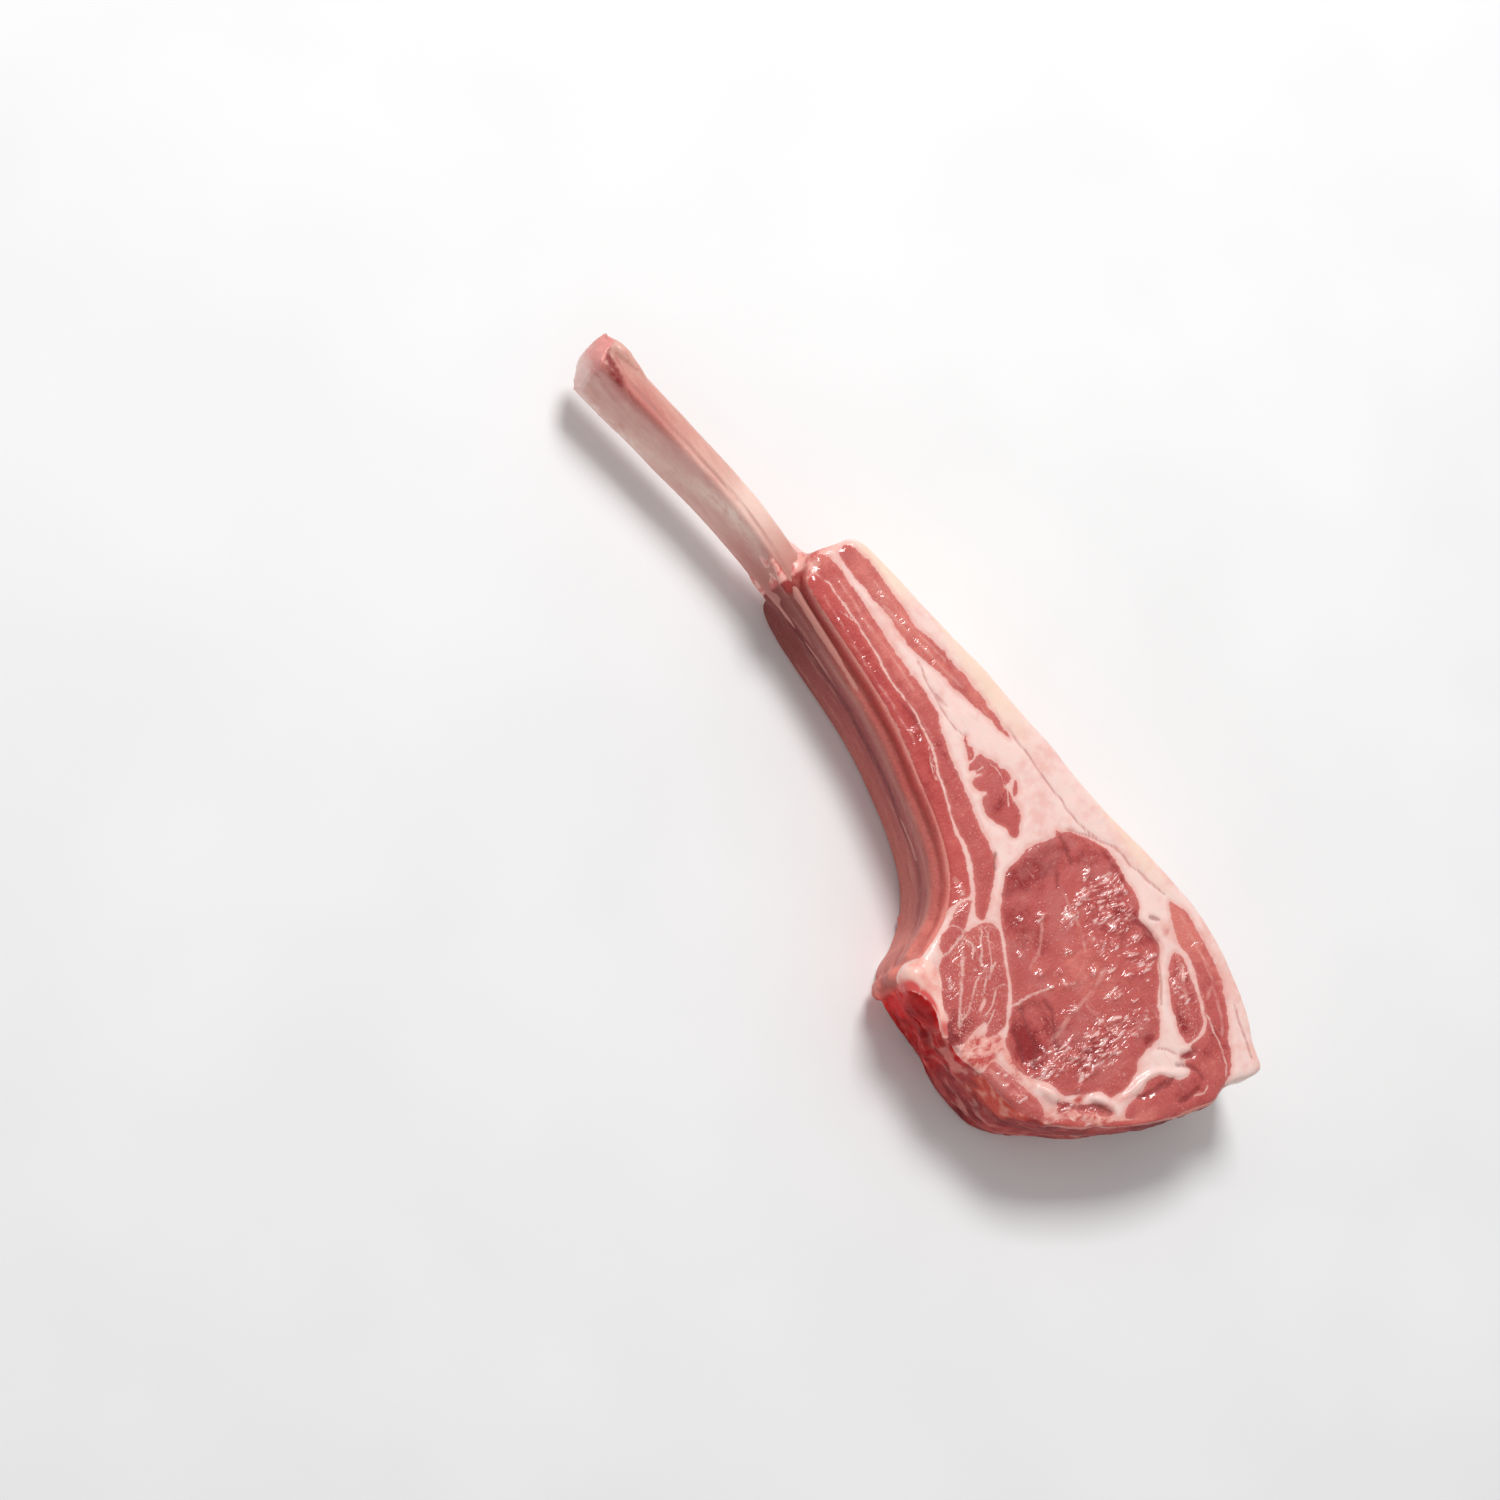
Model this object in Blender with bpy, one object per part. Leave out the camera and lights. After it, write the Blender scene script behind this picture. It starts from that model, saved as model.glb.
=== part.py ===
"""A raw lamb rib cutlet, lying on its back cut face with the front cut face up.

+Z points up from the back cut face, +Y runs along the bare rib towards its tip, and +X points to the
fat cap. The origin is under the middle of the whole cutlet. Every size is in millimetres, and MM turns
it into metres. The layers that show at the cut faces run through the meat from front to back.
"""
import math

import bmesh
import bpy
from mathutils import Matrix, Vector
from mathutils.geometry import delaunay_2d_cdt

MM = 0.001

# Driving dimensions
THICKNESS = 22.4          # between the two cut faces
FRONT_EDGE = 1.8          # rounding where the front face meets the side
BACK_EDGE = 1.4           # rounding where the back face meets the side
SIDE_BULGE = 0.5          # how far the side swells at mid thickness
EYE_SWELL = 0.9           # how far the eye muscle stands above the mean front face
TAIL_THINNING = 1.2       # how much thinner the narrow end is
GAP = 0.3                 # clearance between neighbouring pieces
RIB_WIDE = 11.2           # rib section along Z inside the meat
RIB_THIN = 6.0            # rib section across
RIB_HEIGHT = 13.2         # height of the rib's middle above the back face
RIB_TIP = 89.4            # where the rib's middle ends, along Y
BELOW = -6.0              # a cutter that goes right through reaches from here ...
ABOVE = THICKNESS + 6.0   # ... to here

# Mesh fineness
SIDE_SPACING = 3.1        # between points round the side of the meat
LAYER_SPACING = 2.1       # between points round a layer
FACE_SPACING = 7.0        # between points inside the front face

# Round the meat, clockwise from the inner end of the tail: x, y, and how far the back face lies outside
# the front face there.
MEAT_OUTLINE = [
    (-0.4, 31.8, 1.6), (1.2, 34.0, 0.2), (4.6, 36.0, -1.0), (9.5, 35.0, -1.4), (13.9, 33.4, -0.8),
    (15.8, 28.0, 0.0), (17.4, 18.0, 0.0), (19.3, 5.6, 0.0), (21.2, -6.5, 0.0), (22.7, -20.0, 0.0),
    (24.1, -32.0, 0.0), (26.1, -42.0, 0.0), (27.9, -52.0, 0.0), (28.8, -61.0, 0.0), (28.6, -69.0, 0.0),
    (27.4, -76.0, 0.0), (25.5, -83.0, 0.0), (23.1, -88.2, 0.0), (21.9, -92.0, 0.0), (20.9, -93.1, 0.0),
    (18.0, -92.9, -0.3), (15.0, -91.9, -0.5), (12.3, -91.5, -0.6), (9.4, -92.6, -0.6), (6.0, -91.6, -0.5),
    (0.0, -89.9, -0.2), (-6.0, -86.9, 0.1), (-12.0, -83.5, 0.2), (-18.0, -79.1, -0.1),
    (-22.8, -75.2, -0.1), (-25.9, -70.6, 0.5), (-26.8, -65.0, 0.9), (-28.1, -60.0, -0.1),
    (-29.3, -55.5, -2.2), (-28.9, -49.5, -1.7), (-29.6, -44.0, -2.4), (-29.0, -40.0, -2.6),
    (-24.5, -37.2, 0.6), (-19.5, -35.5, 1.0), (-15.5, -33.5, 1.4), (-12.0, -30.3, 1.5), (-9.2, -26.3, 1.5),
    (-7.2, -21.5, 1.4), (-5.6, -15.9, 1.2), (-4.2, -9.5, 1.2), (-2.7, -3.0, 1.5), (-1.6, 4.0, 1.9),
    (-1.1, 12.0, 2.2), (-0.9, 20.0, 2.4), (-0.8, 27.0, 2.3),
]

# The middle line of the rib from the backbone end to past the tip: x, y, twist in degrees, scale.
RIB_LINE = [
    (-23.5, -38.7, 0, 0.90), (-19.0, -36.9, 0, 0.95), (-14.7, -34.7, 0, 1.0), (-10.9, -31.2, 0, 1.0),
    (-8.1, -27.0, 0, 1.0), (-6.0, -22.0, 0, 1.0), (-4.5, -16.3, 0, 1.0), (-3.1, -10.0, 0, 1.0),
    (-1.7, -3.5, 0, 1.0), (-0.6, 4.0, 0, 1.0), (-0.1, 12.0, 0, 1.0), (0.1, 20.0, 4, 1.0),
    (0.0, 29.0, 9, 1.0), (-0.2, 38.0, 14, 1.04), (-0.7, 47.0, 18, 1.08), (-1.8, 55.5, 20, 1.10),
    (-3.3, 64.0, 21, 1.11), (-5.0, 73.5, 22, 1.12), (-6.9, 83.0, 22, 1.16), (-8.7, 93.0, 22, 1.17),
    (-9.7, 99.0, 22, 1.17),
]
# One half of the rib's section, thin side and wide side as shares of half the size, from the front
# edge round the outer side to the back edge; the inner side is its mirror with a shallow groove.
RIB_SECTION = [(0.0, 1.0), (0.66, 0.92), (0.98, 0.58), (1.0, 0.0), (0.94, -0.56), (0.6, -0.91), (0.0, -1.0)]
GROOVE = 0.16             # how far the groove sinks in, as a share of half the thin size
END_CUT_SLANT = 36.0      # degrees by which the sawn end leans from square, longer on the outer side
END_CUT_TILT = 6.0        # degrees by which the sawn end also faces up

# Layers of the front face: smooth closed outlines of x, y.
LAYERS = {
    "eye_muscle": [
        (-0.5, -34.0), (2.5, -33.0), (6.0, -32.7), (9.5, -33.2), (12.8, -34.0), (15.5, -35.8), (18.3, -38.8),
        (19.9, -42.5), (19.5, -47.5), (19.2, -52.0), (17.4, -55.5), (17.1, -59.0), (17.0, -62.3),
        (14.8, -65.5), (12.3, -69.0), (10.2, -73.0), (8.0, -75.6), (3.5, -76.4), (0.0, -77.8),
        (-4.0, -79.5), (-7.8, -79.6), (-9.5, -77.5), (-13.0, -75.4), (-16.2, -73.4), (-17.0, -70.3),
        (-19.2, -67.0), (-20.3, -62.5), (-18.6, -58.6), (-14.6, -55.2), (-12.0, -52.2), (-9.8, -47.8),
        (-7.8, -43.0), (-5.2, -38.2),
    ],
    "small_muscle": [
        (7.7, -9.5), (8.8, -9.7), (8.7, -12.2), (10.4, -15.0), (11.0, -17.5), (11.8, -19.5),
        (10.0, -21.2), (9.8, -24.2), (9.0, -26.8), (7.6, -28.6), (5.6, -29.0), (4.2, -26.6), (3.4, -23.8), (4.0, -21.3), (5.0, -19.6),
        (4.2, -17.4), (5.4, -15.4), (5.8, -13.4), (6.6, -11.4),
    ],
    "outer_strip": [
        (9.2, 32.6), (12.0, 31.6), (12.9, 26.5), (13.2, 20.0), (13.3, 14.5), (14.2, 9.0), (15.3, 2.5),
        (16.0, -4.5), (16.3, -10.0), (16.2, -14.2), (15.2, -10.2), (13.9, -5.0), (12.2, 0.0), (10.9, 6.0),
        (9.9, 11.5), (9.7, 18.0), (9.2, 25.0), (8.7, 30.0),
    ],
    "middle_strip": [
        (4.6, 34.0), (6.6, 33.2), (7.3, 29.5), (7.2, 23.0), (6.7, 16.0), (6.5, 10.0), (6.9, 4.0), (6.9, -0.5),
        (5.4, -4.2), (4.6, -7.5), (3.4, -11.5), (2.2, -15.5), (1.2, -20.0), (0.3, -25.0), (-1.2, -30.0),
        (-3.3, -33.6), (-6.4, -36.8), (-8.6, -39.0), (-10.3, -38.0), (-8.0, -34.2), (-6.0, -30.4),
        (-4.2, -25.5), (-3.0, -20.0), (-1.4, -15.0), (0.2, -10.4), (2.2, -5.4), (3.2, 0.0), (3.3, 6.0),
        (3.8, 12.0), (4.1, 19.0), (4.4, 26.0), (3.6, 31.0),
    ],
    "chine_muscle": [
        (-20.6, -39.2), (-18.6, -37.2), (-15.6, -36.0), (-13.4, -37.4), (-11.7, -39.6), (-10.1, -41.6),
        (-10.2, -46.5), (-12.0, -50.0), (-14.4, -53.2), (-17.0, -55.4), (-20.2, -56.8), (-23.6, -56.4),
        (-25.4, -53.6), (-25.2, -50.0), (-24.6, -47.0), (-23.0, -43.4),
    ],
    "cap_muscle_inner": [
        (18.4, -64.4), (20.1, -65.2), (20.0, -68.6), (18.8, -72.4), (16.8, -76.4), (15.2, -79.4),
        (12.8, -80.6), (10.8, -79.4), (11.4, -76.0), (13.0, -72.2), (15.6, -67.8),
    ],
    "cap_muscle_outer": [
        (24.4, -57.2), (25.9, -60.0), (26.1, -64.0), (25.4, -69.0), (24.3, -74.5), (22.2, -79.5),
        (19.4, -84.0), (16.8, -87.8), (14.0, -91.0), (12.6, -96.0), (10.6, -96.0), (10.0, -88.6),
        (9.8, -84.4), (10.8, -81.8),
        (13.4, -82.0), (16.0, -80.8), (18.0, -77.4), (19.8, -73.4), (21.0, -69.0), (21.6, -64.4),
        (22.6, -60.4),
    ],
    "foot_muscle": [
        (-5.0, -83.2), (-1.0, -82.8), (3.0, -83.2), (5.8, -84.6), (7.8, -87.0), (8.2, -96.0),
        (0.0, -96.0), (-7.0, -93.0), (-12.0, -88.0), (-9.6, -84.4),
    ],
    "trim_muscle": [
        (-18.6, -75.2), (-15.4, -76.0), (-12.8, -78.2), (-10.8, -81.4), (-10.8, -83.4), (-14.0, -87.0),
        (-20.0, -85.0), (-24.0, -80.0), (-21.0, -76.8),
    ],
    "side_muscle": [
        (-32.0, -61.8), (-26.0, -61.4), (-23.4, -62.0), (-22.4, -65.6), (-21.6, -70.0), (-20.6, -73.4),
        (-22.6, -75.4), (-28.0, -78.0), (-34.0, -74.0), (-35.0, -66.0),
    ],
}

# The thin strip along the rib lies in front of it and again behind it, so its two lengths are pieces of
# their own. Both reach out past the inner side.
RIB_STRIP = [
    (-6.0, 28.0), (-4.0, 30.6), (0.0, 31.2), (2.0, 31.4), (3.4, 28.0), (3.4, 20.0), (2.9, 13.0),
    (2.4, 5.0), (2.1, -0.5), (0.6, -6.5), (-1.2, -11.6), (-2.8, -16.0), (-4.1, -21.0), (-5.3, -26.0),
    (-7.2, -30.6), (-9.6, -32.2), (-14.0, -28.0), (-13.0, -22.0), (-11.0, -14.0), (-9.0, -4.0),
    (-7.5, 8.0), (-7.0, 20.0),
]
# The sawn backbone shows at the side under a cap of pale gristle.
GRISTLE_DEPTH = 4.4
BACKBONE_OUTLINE = [
    (-21.2, -36.0), (-21.2, -39.4), (-23.8, -43.0), (-25.6, -46.8), (-26.4, -50.8), (-27.4, -54.0),
    (-33.0, -54.0), (-36.0, -46.0), (-34.0, -36.0), (-27.0, -33.0),
]
# Membrane and fat that climb the outer side of the rib where it leaves the meat: x, y, radius.
COLLAR_LINE = [(3.4, 27.0, 5.0), (3.0, 33.0, 4.8), (2.4, 38.0, 3.8), (1.9, 42.0, 2.9), (1.5, 46.0, 2.2)]

# Material name: colour, roughness.
MATERIALS = {
    "fat": ((0.86, 0.70, 0.62), 0.38),
    "lean_meat": ((0.50, 0.12, 0.11), 0.32),
    "bone": ((0.66, 0.53, 0.48), 0.42),
    "gristle": ((0.80, 0.52, 0.46), 0.35),
    "marrow_bone": ((0.27, 0.02, 0.02), 0.30),
}


def clear_scene():
    """Removes whatever the file holds."""
    for item in list(bpy.data.objects):
        bpy.data.objects.remove(item)


def new_collection(name):
    """A collection in the scene."""
    collection = bpy.data.collections.new(name)
    bpy.context.scene.collection.children.link(collection)
    return collection


def new_material(name, colour, roughness):
    """A plain Principled material."""
    material = bpy.data.materials.new(name)
    material.use_nodes = True
    shader = material.node_tree.nodes["Principled BSDF"]
    shader.inputs["Base Color"].default_value = (*colour, 1.0)
    shader.inputs["Roughness"].default_value = roughness
    shader.inputs["Metallic"].default_value = 0.0
    material.diffuse_color = (*colour, 1.0)
    return material


def smooth_loop(points, spacing):
    """Points about one spacing apart on the smooth closed curve through the given points."""
    count = len(points)
    loop = []
    for index in range(count):
        before, start, end, after = (Vector(points[(index + step) % count]) for step in (-1, 0, 1, 2))
        pieces = max(1, round((end - start).length / spacing))
        for piece in range(pieces):
            t = piece / pieces
            square = 2 * before - 5 * start + 4 * end - after
            cube = 3 * start - before - 3 * end + after
            loop.append(0.5 * (2 * start + (end - before) * t + square * t * t + cube * t ** 3))
    return loop


def outward(loop):
    """The outward direction at each point of a closed loop of x, y."""
    count = len(loop)
    area = sum(loop[i - 1].x * loop[i].y - loop[i].x * loop[i - 1].y for i in range(count))
    turn = 1.0 if area > 0 else -1.0
    normals = []
    for index in range(count):
        along = loop[(index + 1) % count] - loop[index - 1]
        normals.append(Vector((along.y, -along.x)).normalized() * turn)
    return normals


def grown(loop, amount):
    """The loop moved outward by an amount, or inward if it is negative."""
    return [point + normal * amount for point, normal in zip(loop, outward(loop))]


def blend(value, start, end):
    """A smooth step from 0 at start to 1 at end."""
    t = min(1.0, max(0.0, (value - start) / (end - start)))
    return t * t * (3 - 2 * t)


def face_swell(x, y):
    """How far the front face stands above its mean height: higher on the eye, lower on the tail."""
    eye = math.exp(-((x - 1.0) / 19.0) ** 2 - ((y + 56.0) / 23.0) ** 2)
    return EYE_SWELL * eye - TAIL_THINNING * blend(y, -10.0, 36.0)


def side_profile():
    """Height, and how far in from the outline, of each ring round the side, from back to front."""
    rings = []
    for degrees in (0, 45, 90):
        angle = math.radians(degrees)
        rings.append((BACK_EDGE * (1 - math.cos(angle)), BACK_EDGE * (1 - math.sin(angle))))
    straight = THICKNESS - FRONT_EDGE - BACK_EDGE
    for share in (0.35, 0.7):
        rings.append((BACK_EDGE + straight * share, -SIDE_BULGE * math.sin(math.pi * share)))
    for degrees in (0, 45, 90):
        angle = math.radians(degrees)
        height = THICKNESS - FRONT_EDGE * (1 - math.sin(angle))
        rings.append((height, FRONT_EDGE * (1 - math.cos(angle))))
    return rings


def object_from_bmesh(name, mesh_data, collection):
    """Turns a bmesh in millimetres into an object in metres."""
    bmesh.ops.scale(mesh_data, vec=(MM, MM, MM), verts=mesh_data.verts)
    bmesh.ops.recalc_face_normals(mesh_data, faces=mesh_data.faces)
    mesh = bpy.data.meshes.new(name)
    mesh_data.to_mesh(mesh)
    mesh_data.free()
    item = bpy.data.objects.new(name, mesh)
    collection.objects.link(item)
    return item


def inside(point, loop):
    """Whether a point lies inside a closed loop."""
    crossings = 0
    for start, end in zip(loop, loop[1:] + loop[:1]):
        if (start.y > point.y) != (end.y > point.y):
            cross = start.x + (point.y - start.y) / (end.y - start.y) * (end.x - start.x)
            crossings += point.x < cross
    return crossings % 2 == 1


def face_points(loop):
    """A loose grid of points well inside a loop."""
    margin = grown(loop, -0.45 * FACE_SPACING)
    low = [min(point[axis] for point in loop) for axis in (0, 1)]
    high = [max(point[axis] for point in loop) for axis in (0, 1)]
    points = []
    for row in range(int((high[1] - low[1]) / FACE_SPACING) + 1):
        for column in range(int((high[0] - low[0]) / FACE_SPACING) + 1):
            shift = 0.5 * (row % 2)
            point = Vector((low[0] + (column + shift) * FACE_SPACING, low[1] + row * FACE_SPACING))
            if inside(point, margin):
                points.append(point)
    return points


def meat_slab(collection):
    """The whole piece of meat without its rib: a slab with rounded edges and a gently swelling front."""
    loop = smooth_loop(MEAT_OUTLINE, SIDE_SPACING)
    flat = [point.to_2d() for point in loop]
    normals = outward(flat)
    mesh_data = bmesh.new()
    rings = []
    for height, inset in side_profile():
        share = 1 - blend(height, 0.0, THICKNESS)
        ring = []
        for point, place, normal in zip(loop, flat, normals):
            spot = place + normal * (point.z * share - inset)
            lift = face_swell(spot.x, spot.y) * height / THICKNESS
            ring.append(mesh_data.verts.new((spot.x, spot.y, height + lift)))
        rings.append(ring)
    count = len(loop)
    for lower, upper in zip(rings, rings[1:]):
        for index in range(count):
            after = (index + 1) % count
            mesh_data.faces.new((lower[index], lower[after], upper[after], upper[index]))
    mesh_data.faces.new(rings[0])
    rim = [vert.co.to_2d() for vert in rings[-1]]
    edges = [(index, (index + 1) % count) for index in range(count)]
    found = delaunay_2d_cdt(rim + face_points(rim), edges, [list(range(count))], 1, 1e-5)
    verts = list(rings[-1])
    for place in found[0][count:]:
        verts.append(mesh_data.verts.new((place.x, place.y, THICKNESS + face_swell(place.x, place.y))))
    for face in found[2]:
        mesh_data.faces.new([verts[index] for index in face])
    return object_from_bmesh("meat_form", mesh_data, collection)


def mesh_from_curve(item):
    """Replaces a curve object by a closed mesh object of the same name and shape."""
    evaluated = item.evaluated_get(bpy.context.evaluated_depsgraph_get())
    mesh = bpy.data.meshes.new_from_object(evaluated)
    mesh_data = bmesh.new()
    mesh_data.from_mesh(mesh)
    bmesh.ops.remove_doubles(mesh_data, verts=mesh_data.verts, dist=0.01 * MM)
    bmesh.ops.recalc_face_normals(mesh_data, faces=mesh_data.faces)
    mesh_data.to_mesh(mesh)
    mesh_data.free()
    name, collection = item.name, item.users_collection[0]
    bpy.data.objects.remove(item)
    solid = bpy.data.objects.new(name, mesh)
    collection.objects.link(solid)
    return solid


def prism(name, outline, bottom, top, growth, collection):
    """An upright solid on a smooth outline, grown or shrunk sideways."""
    loop = grown(smooth_loop(outline, LAYER_SPACING), growth)
    curve = bpy.data.curves.new(name, "CURVE")
    curve.dimensions = "2D"
    curve.fill_mode = "BOTH"
    curve.extrude = (top - bottom) / 2 * MM
    spline = curve.splines.new("POLY")
    spline.points.add(len(loop) - 1)
    for point, place in zip(spline.points, loop):
        point.co = (place.x * MM, place.y * MM, 0.0, 1.0)
    spline.use_cyclic_u = True
    item = bpy.data.objects.new(name, curve)
    collection.objects.link(item)
    bpy.context.view_layer.update()
    solid = mesh_from_curve(item)
    solid.data.transform(Matrix.Translation((0, 0, (top + bottom) / 2 * MM)))
    return solid


def rib_section(growth, collection):
    """The rib's section as a closed curve: thin across, wide along Z, grooved on its inner side."""
    thin, wide = RIB_THIN / 2 + growth, RIB_WIDE / 2 + growth
    outer = [Vector((a * thin, b * wide)) for a, b in RIB_SECTION]
    inner = []
    for a, b in reversed(RIB_SECTION[1:-1]):
        sunk = GROOVE * max(0.0, 1 - abs(b + 0.1) / 0.6)
        inner.append(Vector(((sunk - a) * thin, b * wide)))
    curve = bpy.data.curves.new("rib_section", "CURVE")
    curve.dimensions = "2D"
    curve.resolution_u = 2
    spline = curve.splines.new("BEZIER")
    points = outer + inner
    spline.bezier_points.add(len(points) - 1)
    for point, place in zip(spline.bezier_points, points):
        point.co = (place.x * MM, place.y * MM, 0.0)
        point.handle_left_type = "AUTO"
        point.handle_right_type = "AUTO"
    spline.use_cyclic_u = True
    item = bpy.data.objects.new("rib_section", curve)
    collection.objects.link(item)
    return item


def rib_solid(name, growth, collection, guides):
    """The rib swept along its middle line, before its end is sawn off."""
    section = rib_section(growth, guides)
    curve = bpy.data.curves.new(name, "CURVE")
    curve.dimensions = "3D"
    curve.twist_mode = "Z_UP"
    curve.resolution_u = 1
    curve.bevel_mode = "OBJECT"
    curve.bevel_object = section
    curve.use_fill_caps = True
    spline = curve.splines.new("BEZIER")
    spline.bezier_points.add(len(RIB_LINE) - 1)
    for point, (x, y, twist, scale) in zip(spline.bezier_points, RIB_LINE):
        point.co = (x * MM, y * MM, RIB_HEIGHT * MM)
        point.handle_left_type = "AUTO"
        point.handle_right_type = "AUTO"
        point.tilt = math.radians(twist)
        point.radius = scale
    item = bpy.data.objects.new(name, curve)
    collection.objects.link(item)
    bpy.context.view_layer.update()
    solid = mesh_from_curve(item)
    bpy.data.objects.remove(section)
    return solid


def collar_solid(collection):
    """The tapering collar on the outer side of the rib."""
    curve = bpy.data.curves.new("collar", "CURVE")
    curve.dimensions = "3D"
    curve.bevel_depth = MM
    curve.bevel_resolution = 3
    curve.resolution_u = 2
    curve.use_fill_caps = True
    spline = curve.splines.new("BEZIER")
    spline.bezier_points.add(len(COLLAR_LINE) - 1)
    for point, (x, y, radius) in zip(spline.bezier_points, COLLAR_LINE):
        point.co = (x * MM, y * MM, (RIB_HEIGHT + 0.6) * MM)
        point.handle_left_type = "AUTO"
        point.handle_right_type = "AUTO"
        point.radius = radius
    item = bpy.data.objects.new("collar", curve)
    collection.objects.link(item)
    bpy.context.view_layer.update()
    return mesh_from_curve(item)


def end_cutter(collection):
    """A block whose near face saws the rib's end off at a slant."""
    size = 40.0
    bpy.ops.mesh.primitive_cube_add(size=size * MM)
    item = bpy.context.object
    item.name = "end_cutter"
    for owner in list(item.users_collection):
        owner.objects.unlink(item)
    collection.objects.link(item)
    tip_x = -8.2
    turn = Matrix.Rotation(math.radians(END_CUT_SLANT), 4, "Z")
    tilt = Matrix.Rotation(math.radians(END_CUT_TILT), 4, "X")
    place = Matrix.Translation((tip_x * MM, RIB_TIP * MM, RIB_HEIGHT * MM))
    item.data.transform(place @ turn @ tilt @ Matrix.Translation((0, size / 2 * MM, 0)))
    return item


def cut(item, other, operation):
    """Adds a Boolean modifier to an object."""
    modifier = item.modifiers.new(f"{operation.lower()} {other.name}", "BOOLEAN")
    modifier.operation = operation
    modifier.object = other
    modifier.solver = "EXACT"


def finish(item, material, parts):
    """Moves a piece to the parts and gives it its material."""
    for owner in list(item.users_collection):
        owner.objects.unlink(item)
    parts.objects.link(item)
    item.data.materials.clear()
    item.data.materials.append(material)


def world_box(items):
    """Lowest and highest corner of some objects as they are evaluated."""
    bpy.context.view_layer.update()
    graph = bpy.context.evaluated_depsgraph_get()
    low, high = Vector((1, 1, 1)), Vector((-1, -1, -1))
    for item in items:
        for vert in item.evaluated_get(graph).data.vertices:
            for axis in range(3):
                low[axis] = min(low[axis], vert.co[axis])
                high[axis] = max(high[axis], vert.co[axis])
    return low, high


def build():
    """Makes every piece of the cutlet."""
    clear_scene()
    parts = new_collection("lamb_cutlet")
    cutters = new_collection("cutters")
    materials = {name: new_material(name, *look) for name, look in MATERIALS.items()}

    form = meat_slab(cutters)
    collar = collar_solid(cutters)
    saw = end_cutter(cutters)
    rib_room = rib_solid("rib_room", GAP, cutters, cutters)

    rib = rib_solid("rib_bone", 0.0, cutters, cutters)
    cut(rib, saw, "DIFFERENCE")
    finish(rib, materials["bone"], parts)

    fat = bpy.data.objects.new("fat", form.data.copy())
    cutters.objects.link(fat)
    cut(fat, collar, "UNION")
    cut(fat, rib_room, "DIFFERENCE")

    half = GAP / 2
    gristle_base = THICKNESS - GRISTLE_DEPTH
    solids = [(name, outline, BELOW, ABOVE, "lean_meat") for name, outline in LAYERS.items()]
    solids += [
        ("front_rib_strip", RIB_STRIP, RIB_HEIGHT, ABOVE, "lean_meat"),
        ("back_rib_strip", RIB_STRIP, BELOW, RIB_HEIGHT, "lean_meat"),
        ("gristle", BACKBONE_OUTLINE, gristle_base, ABOVE, "gristle"),
        ("backbone", BACKBONE_OUTLINE, BELOW, gristle_base, "marrow_bone"),
    ]
    for name, outline, bottom, top, material in solids:
        piece = prism(name, outline, bottom + half, top - half, -half, cutters)
        cut(piece, form, "INTERSECT")
        cut(piece, rib_room, "DIFFERENCE")
        finish(piece, materials[material], parts)
        room = prism(f"room_for_{name}", outline, bottom - half, top + half, half, cutters)
        cut(fat, room, "DIFFERENCE")
    finish(fat, materials["fat"], parts)

    low, high = world_box(parts.objects)
    frame = bpy.data.objects.new("frame", None)
    frame.location = (-(low.x + high.x) / 2, -(low.y + high.y) / 2, -low.z)
    parts.objects.link(frame)
    for item in list(parts.objects) + list(cutters.objects):
        if item != frame:
            item.parent = frame
        if item.name in cutters.objects:
            item.hide_render = True
            item.display_type = "WIRE"
    for item in parts.objects:
        if item.type == "MESH":
            item.data.shade_smooth()
            item.data.set_sharp_from_angle(angle=math.radians(35))


build()
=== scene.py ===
"""The looks of a raw lamb rib cutlet: its wet marbled cut faces, its fat and its bare rib.

The tables hold millimetres in the drawing frame that the solids' outlines use: x to the fat cap, y to the
rib's tip, z up from the back cut face. SHIFT moves them into the part's frame and MM makes them metres.
The meat and the rib are each one closed skin: rough closed forms are joined by a voxel remesh, smoothed,
and then given their relief and their colour fields point by point.
"""

import math
from functools import partial
from types import SimpleNamespace

import bpy
import numpy as np
from mathutils import Matrix, Vector


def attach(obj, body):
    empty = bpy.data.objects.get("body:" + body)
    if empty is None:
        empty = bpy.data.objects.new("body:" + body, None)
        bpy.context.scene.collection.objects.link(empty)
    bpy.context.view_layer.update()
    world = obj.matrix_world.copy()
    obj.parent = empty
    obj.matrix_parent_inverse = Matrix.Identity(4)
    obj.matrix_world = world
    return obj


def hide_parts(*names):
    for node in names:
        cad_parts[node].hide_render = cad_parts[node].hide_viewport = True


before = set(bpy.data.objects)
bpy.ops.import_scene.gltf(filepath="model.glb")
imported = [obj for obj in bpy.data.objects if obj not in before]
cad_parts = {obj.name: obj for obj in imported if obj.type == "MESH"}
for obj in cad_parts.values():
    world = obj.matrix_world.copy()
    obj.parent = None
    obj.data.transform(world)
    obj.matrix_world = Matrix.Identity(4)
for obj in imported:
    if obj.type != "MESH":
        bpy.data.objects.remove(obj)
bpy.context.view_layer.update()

MM = 0.001
SHIFT = np.array([0.129, 0.644, 0.0])   # from the drawing frame to the part's frame
THICKNESS = TOP = 22.4            # TOP is the height of the front face
MEAT_VOXEL = 0.45
RIB_VOXEL = 0.4
TUBE_SIDES = 14
LINE_SPACING = 0.8                # between the points that distances are measured from
FAR = 1e9                         # farther than any distance
# How the noise mixes a cell's three numbers and the seed into one that looks random.
HASH_AXES, HASH_SEED = (73856093, 19349663, 83492791), 2654435761
HASH_ROUNDS, HASH_BITS = ((15, 739982445), (13, 695872825)), 0xFFFFFFFF

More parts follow.
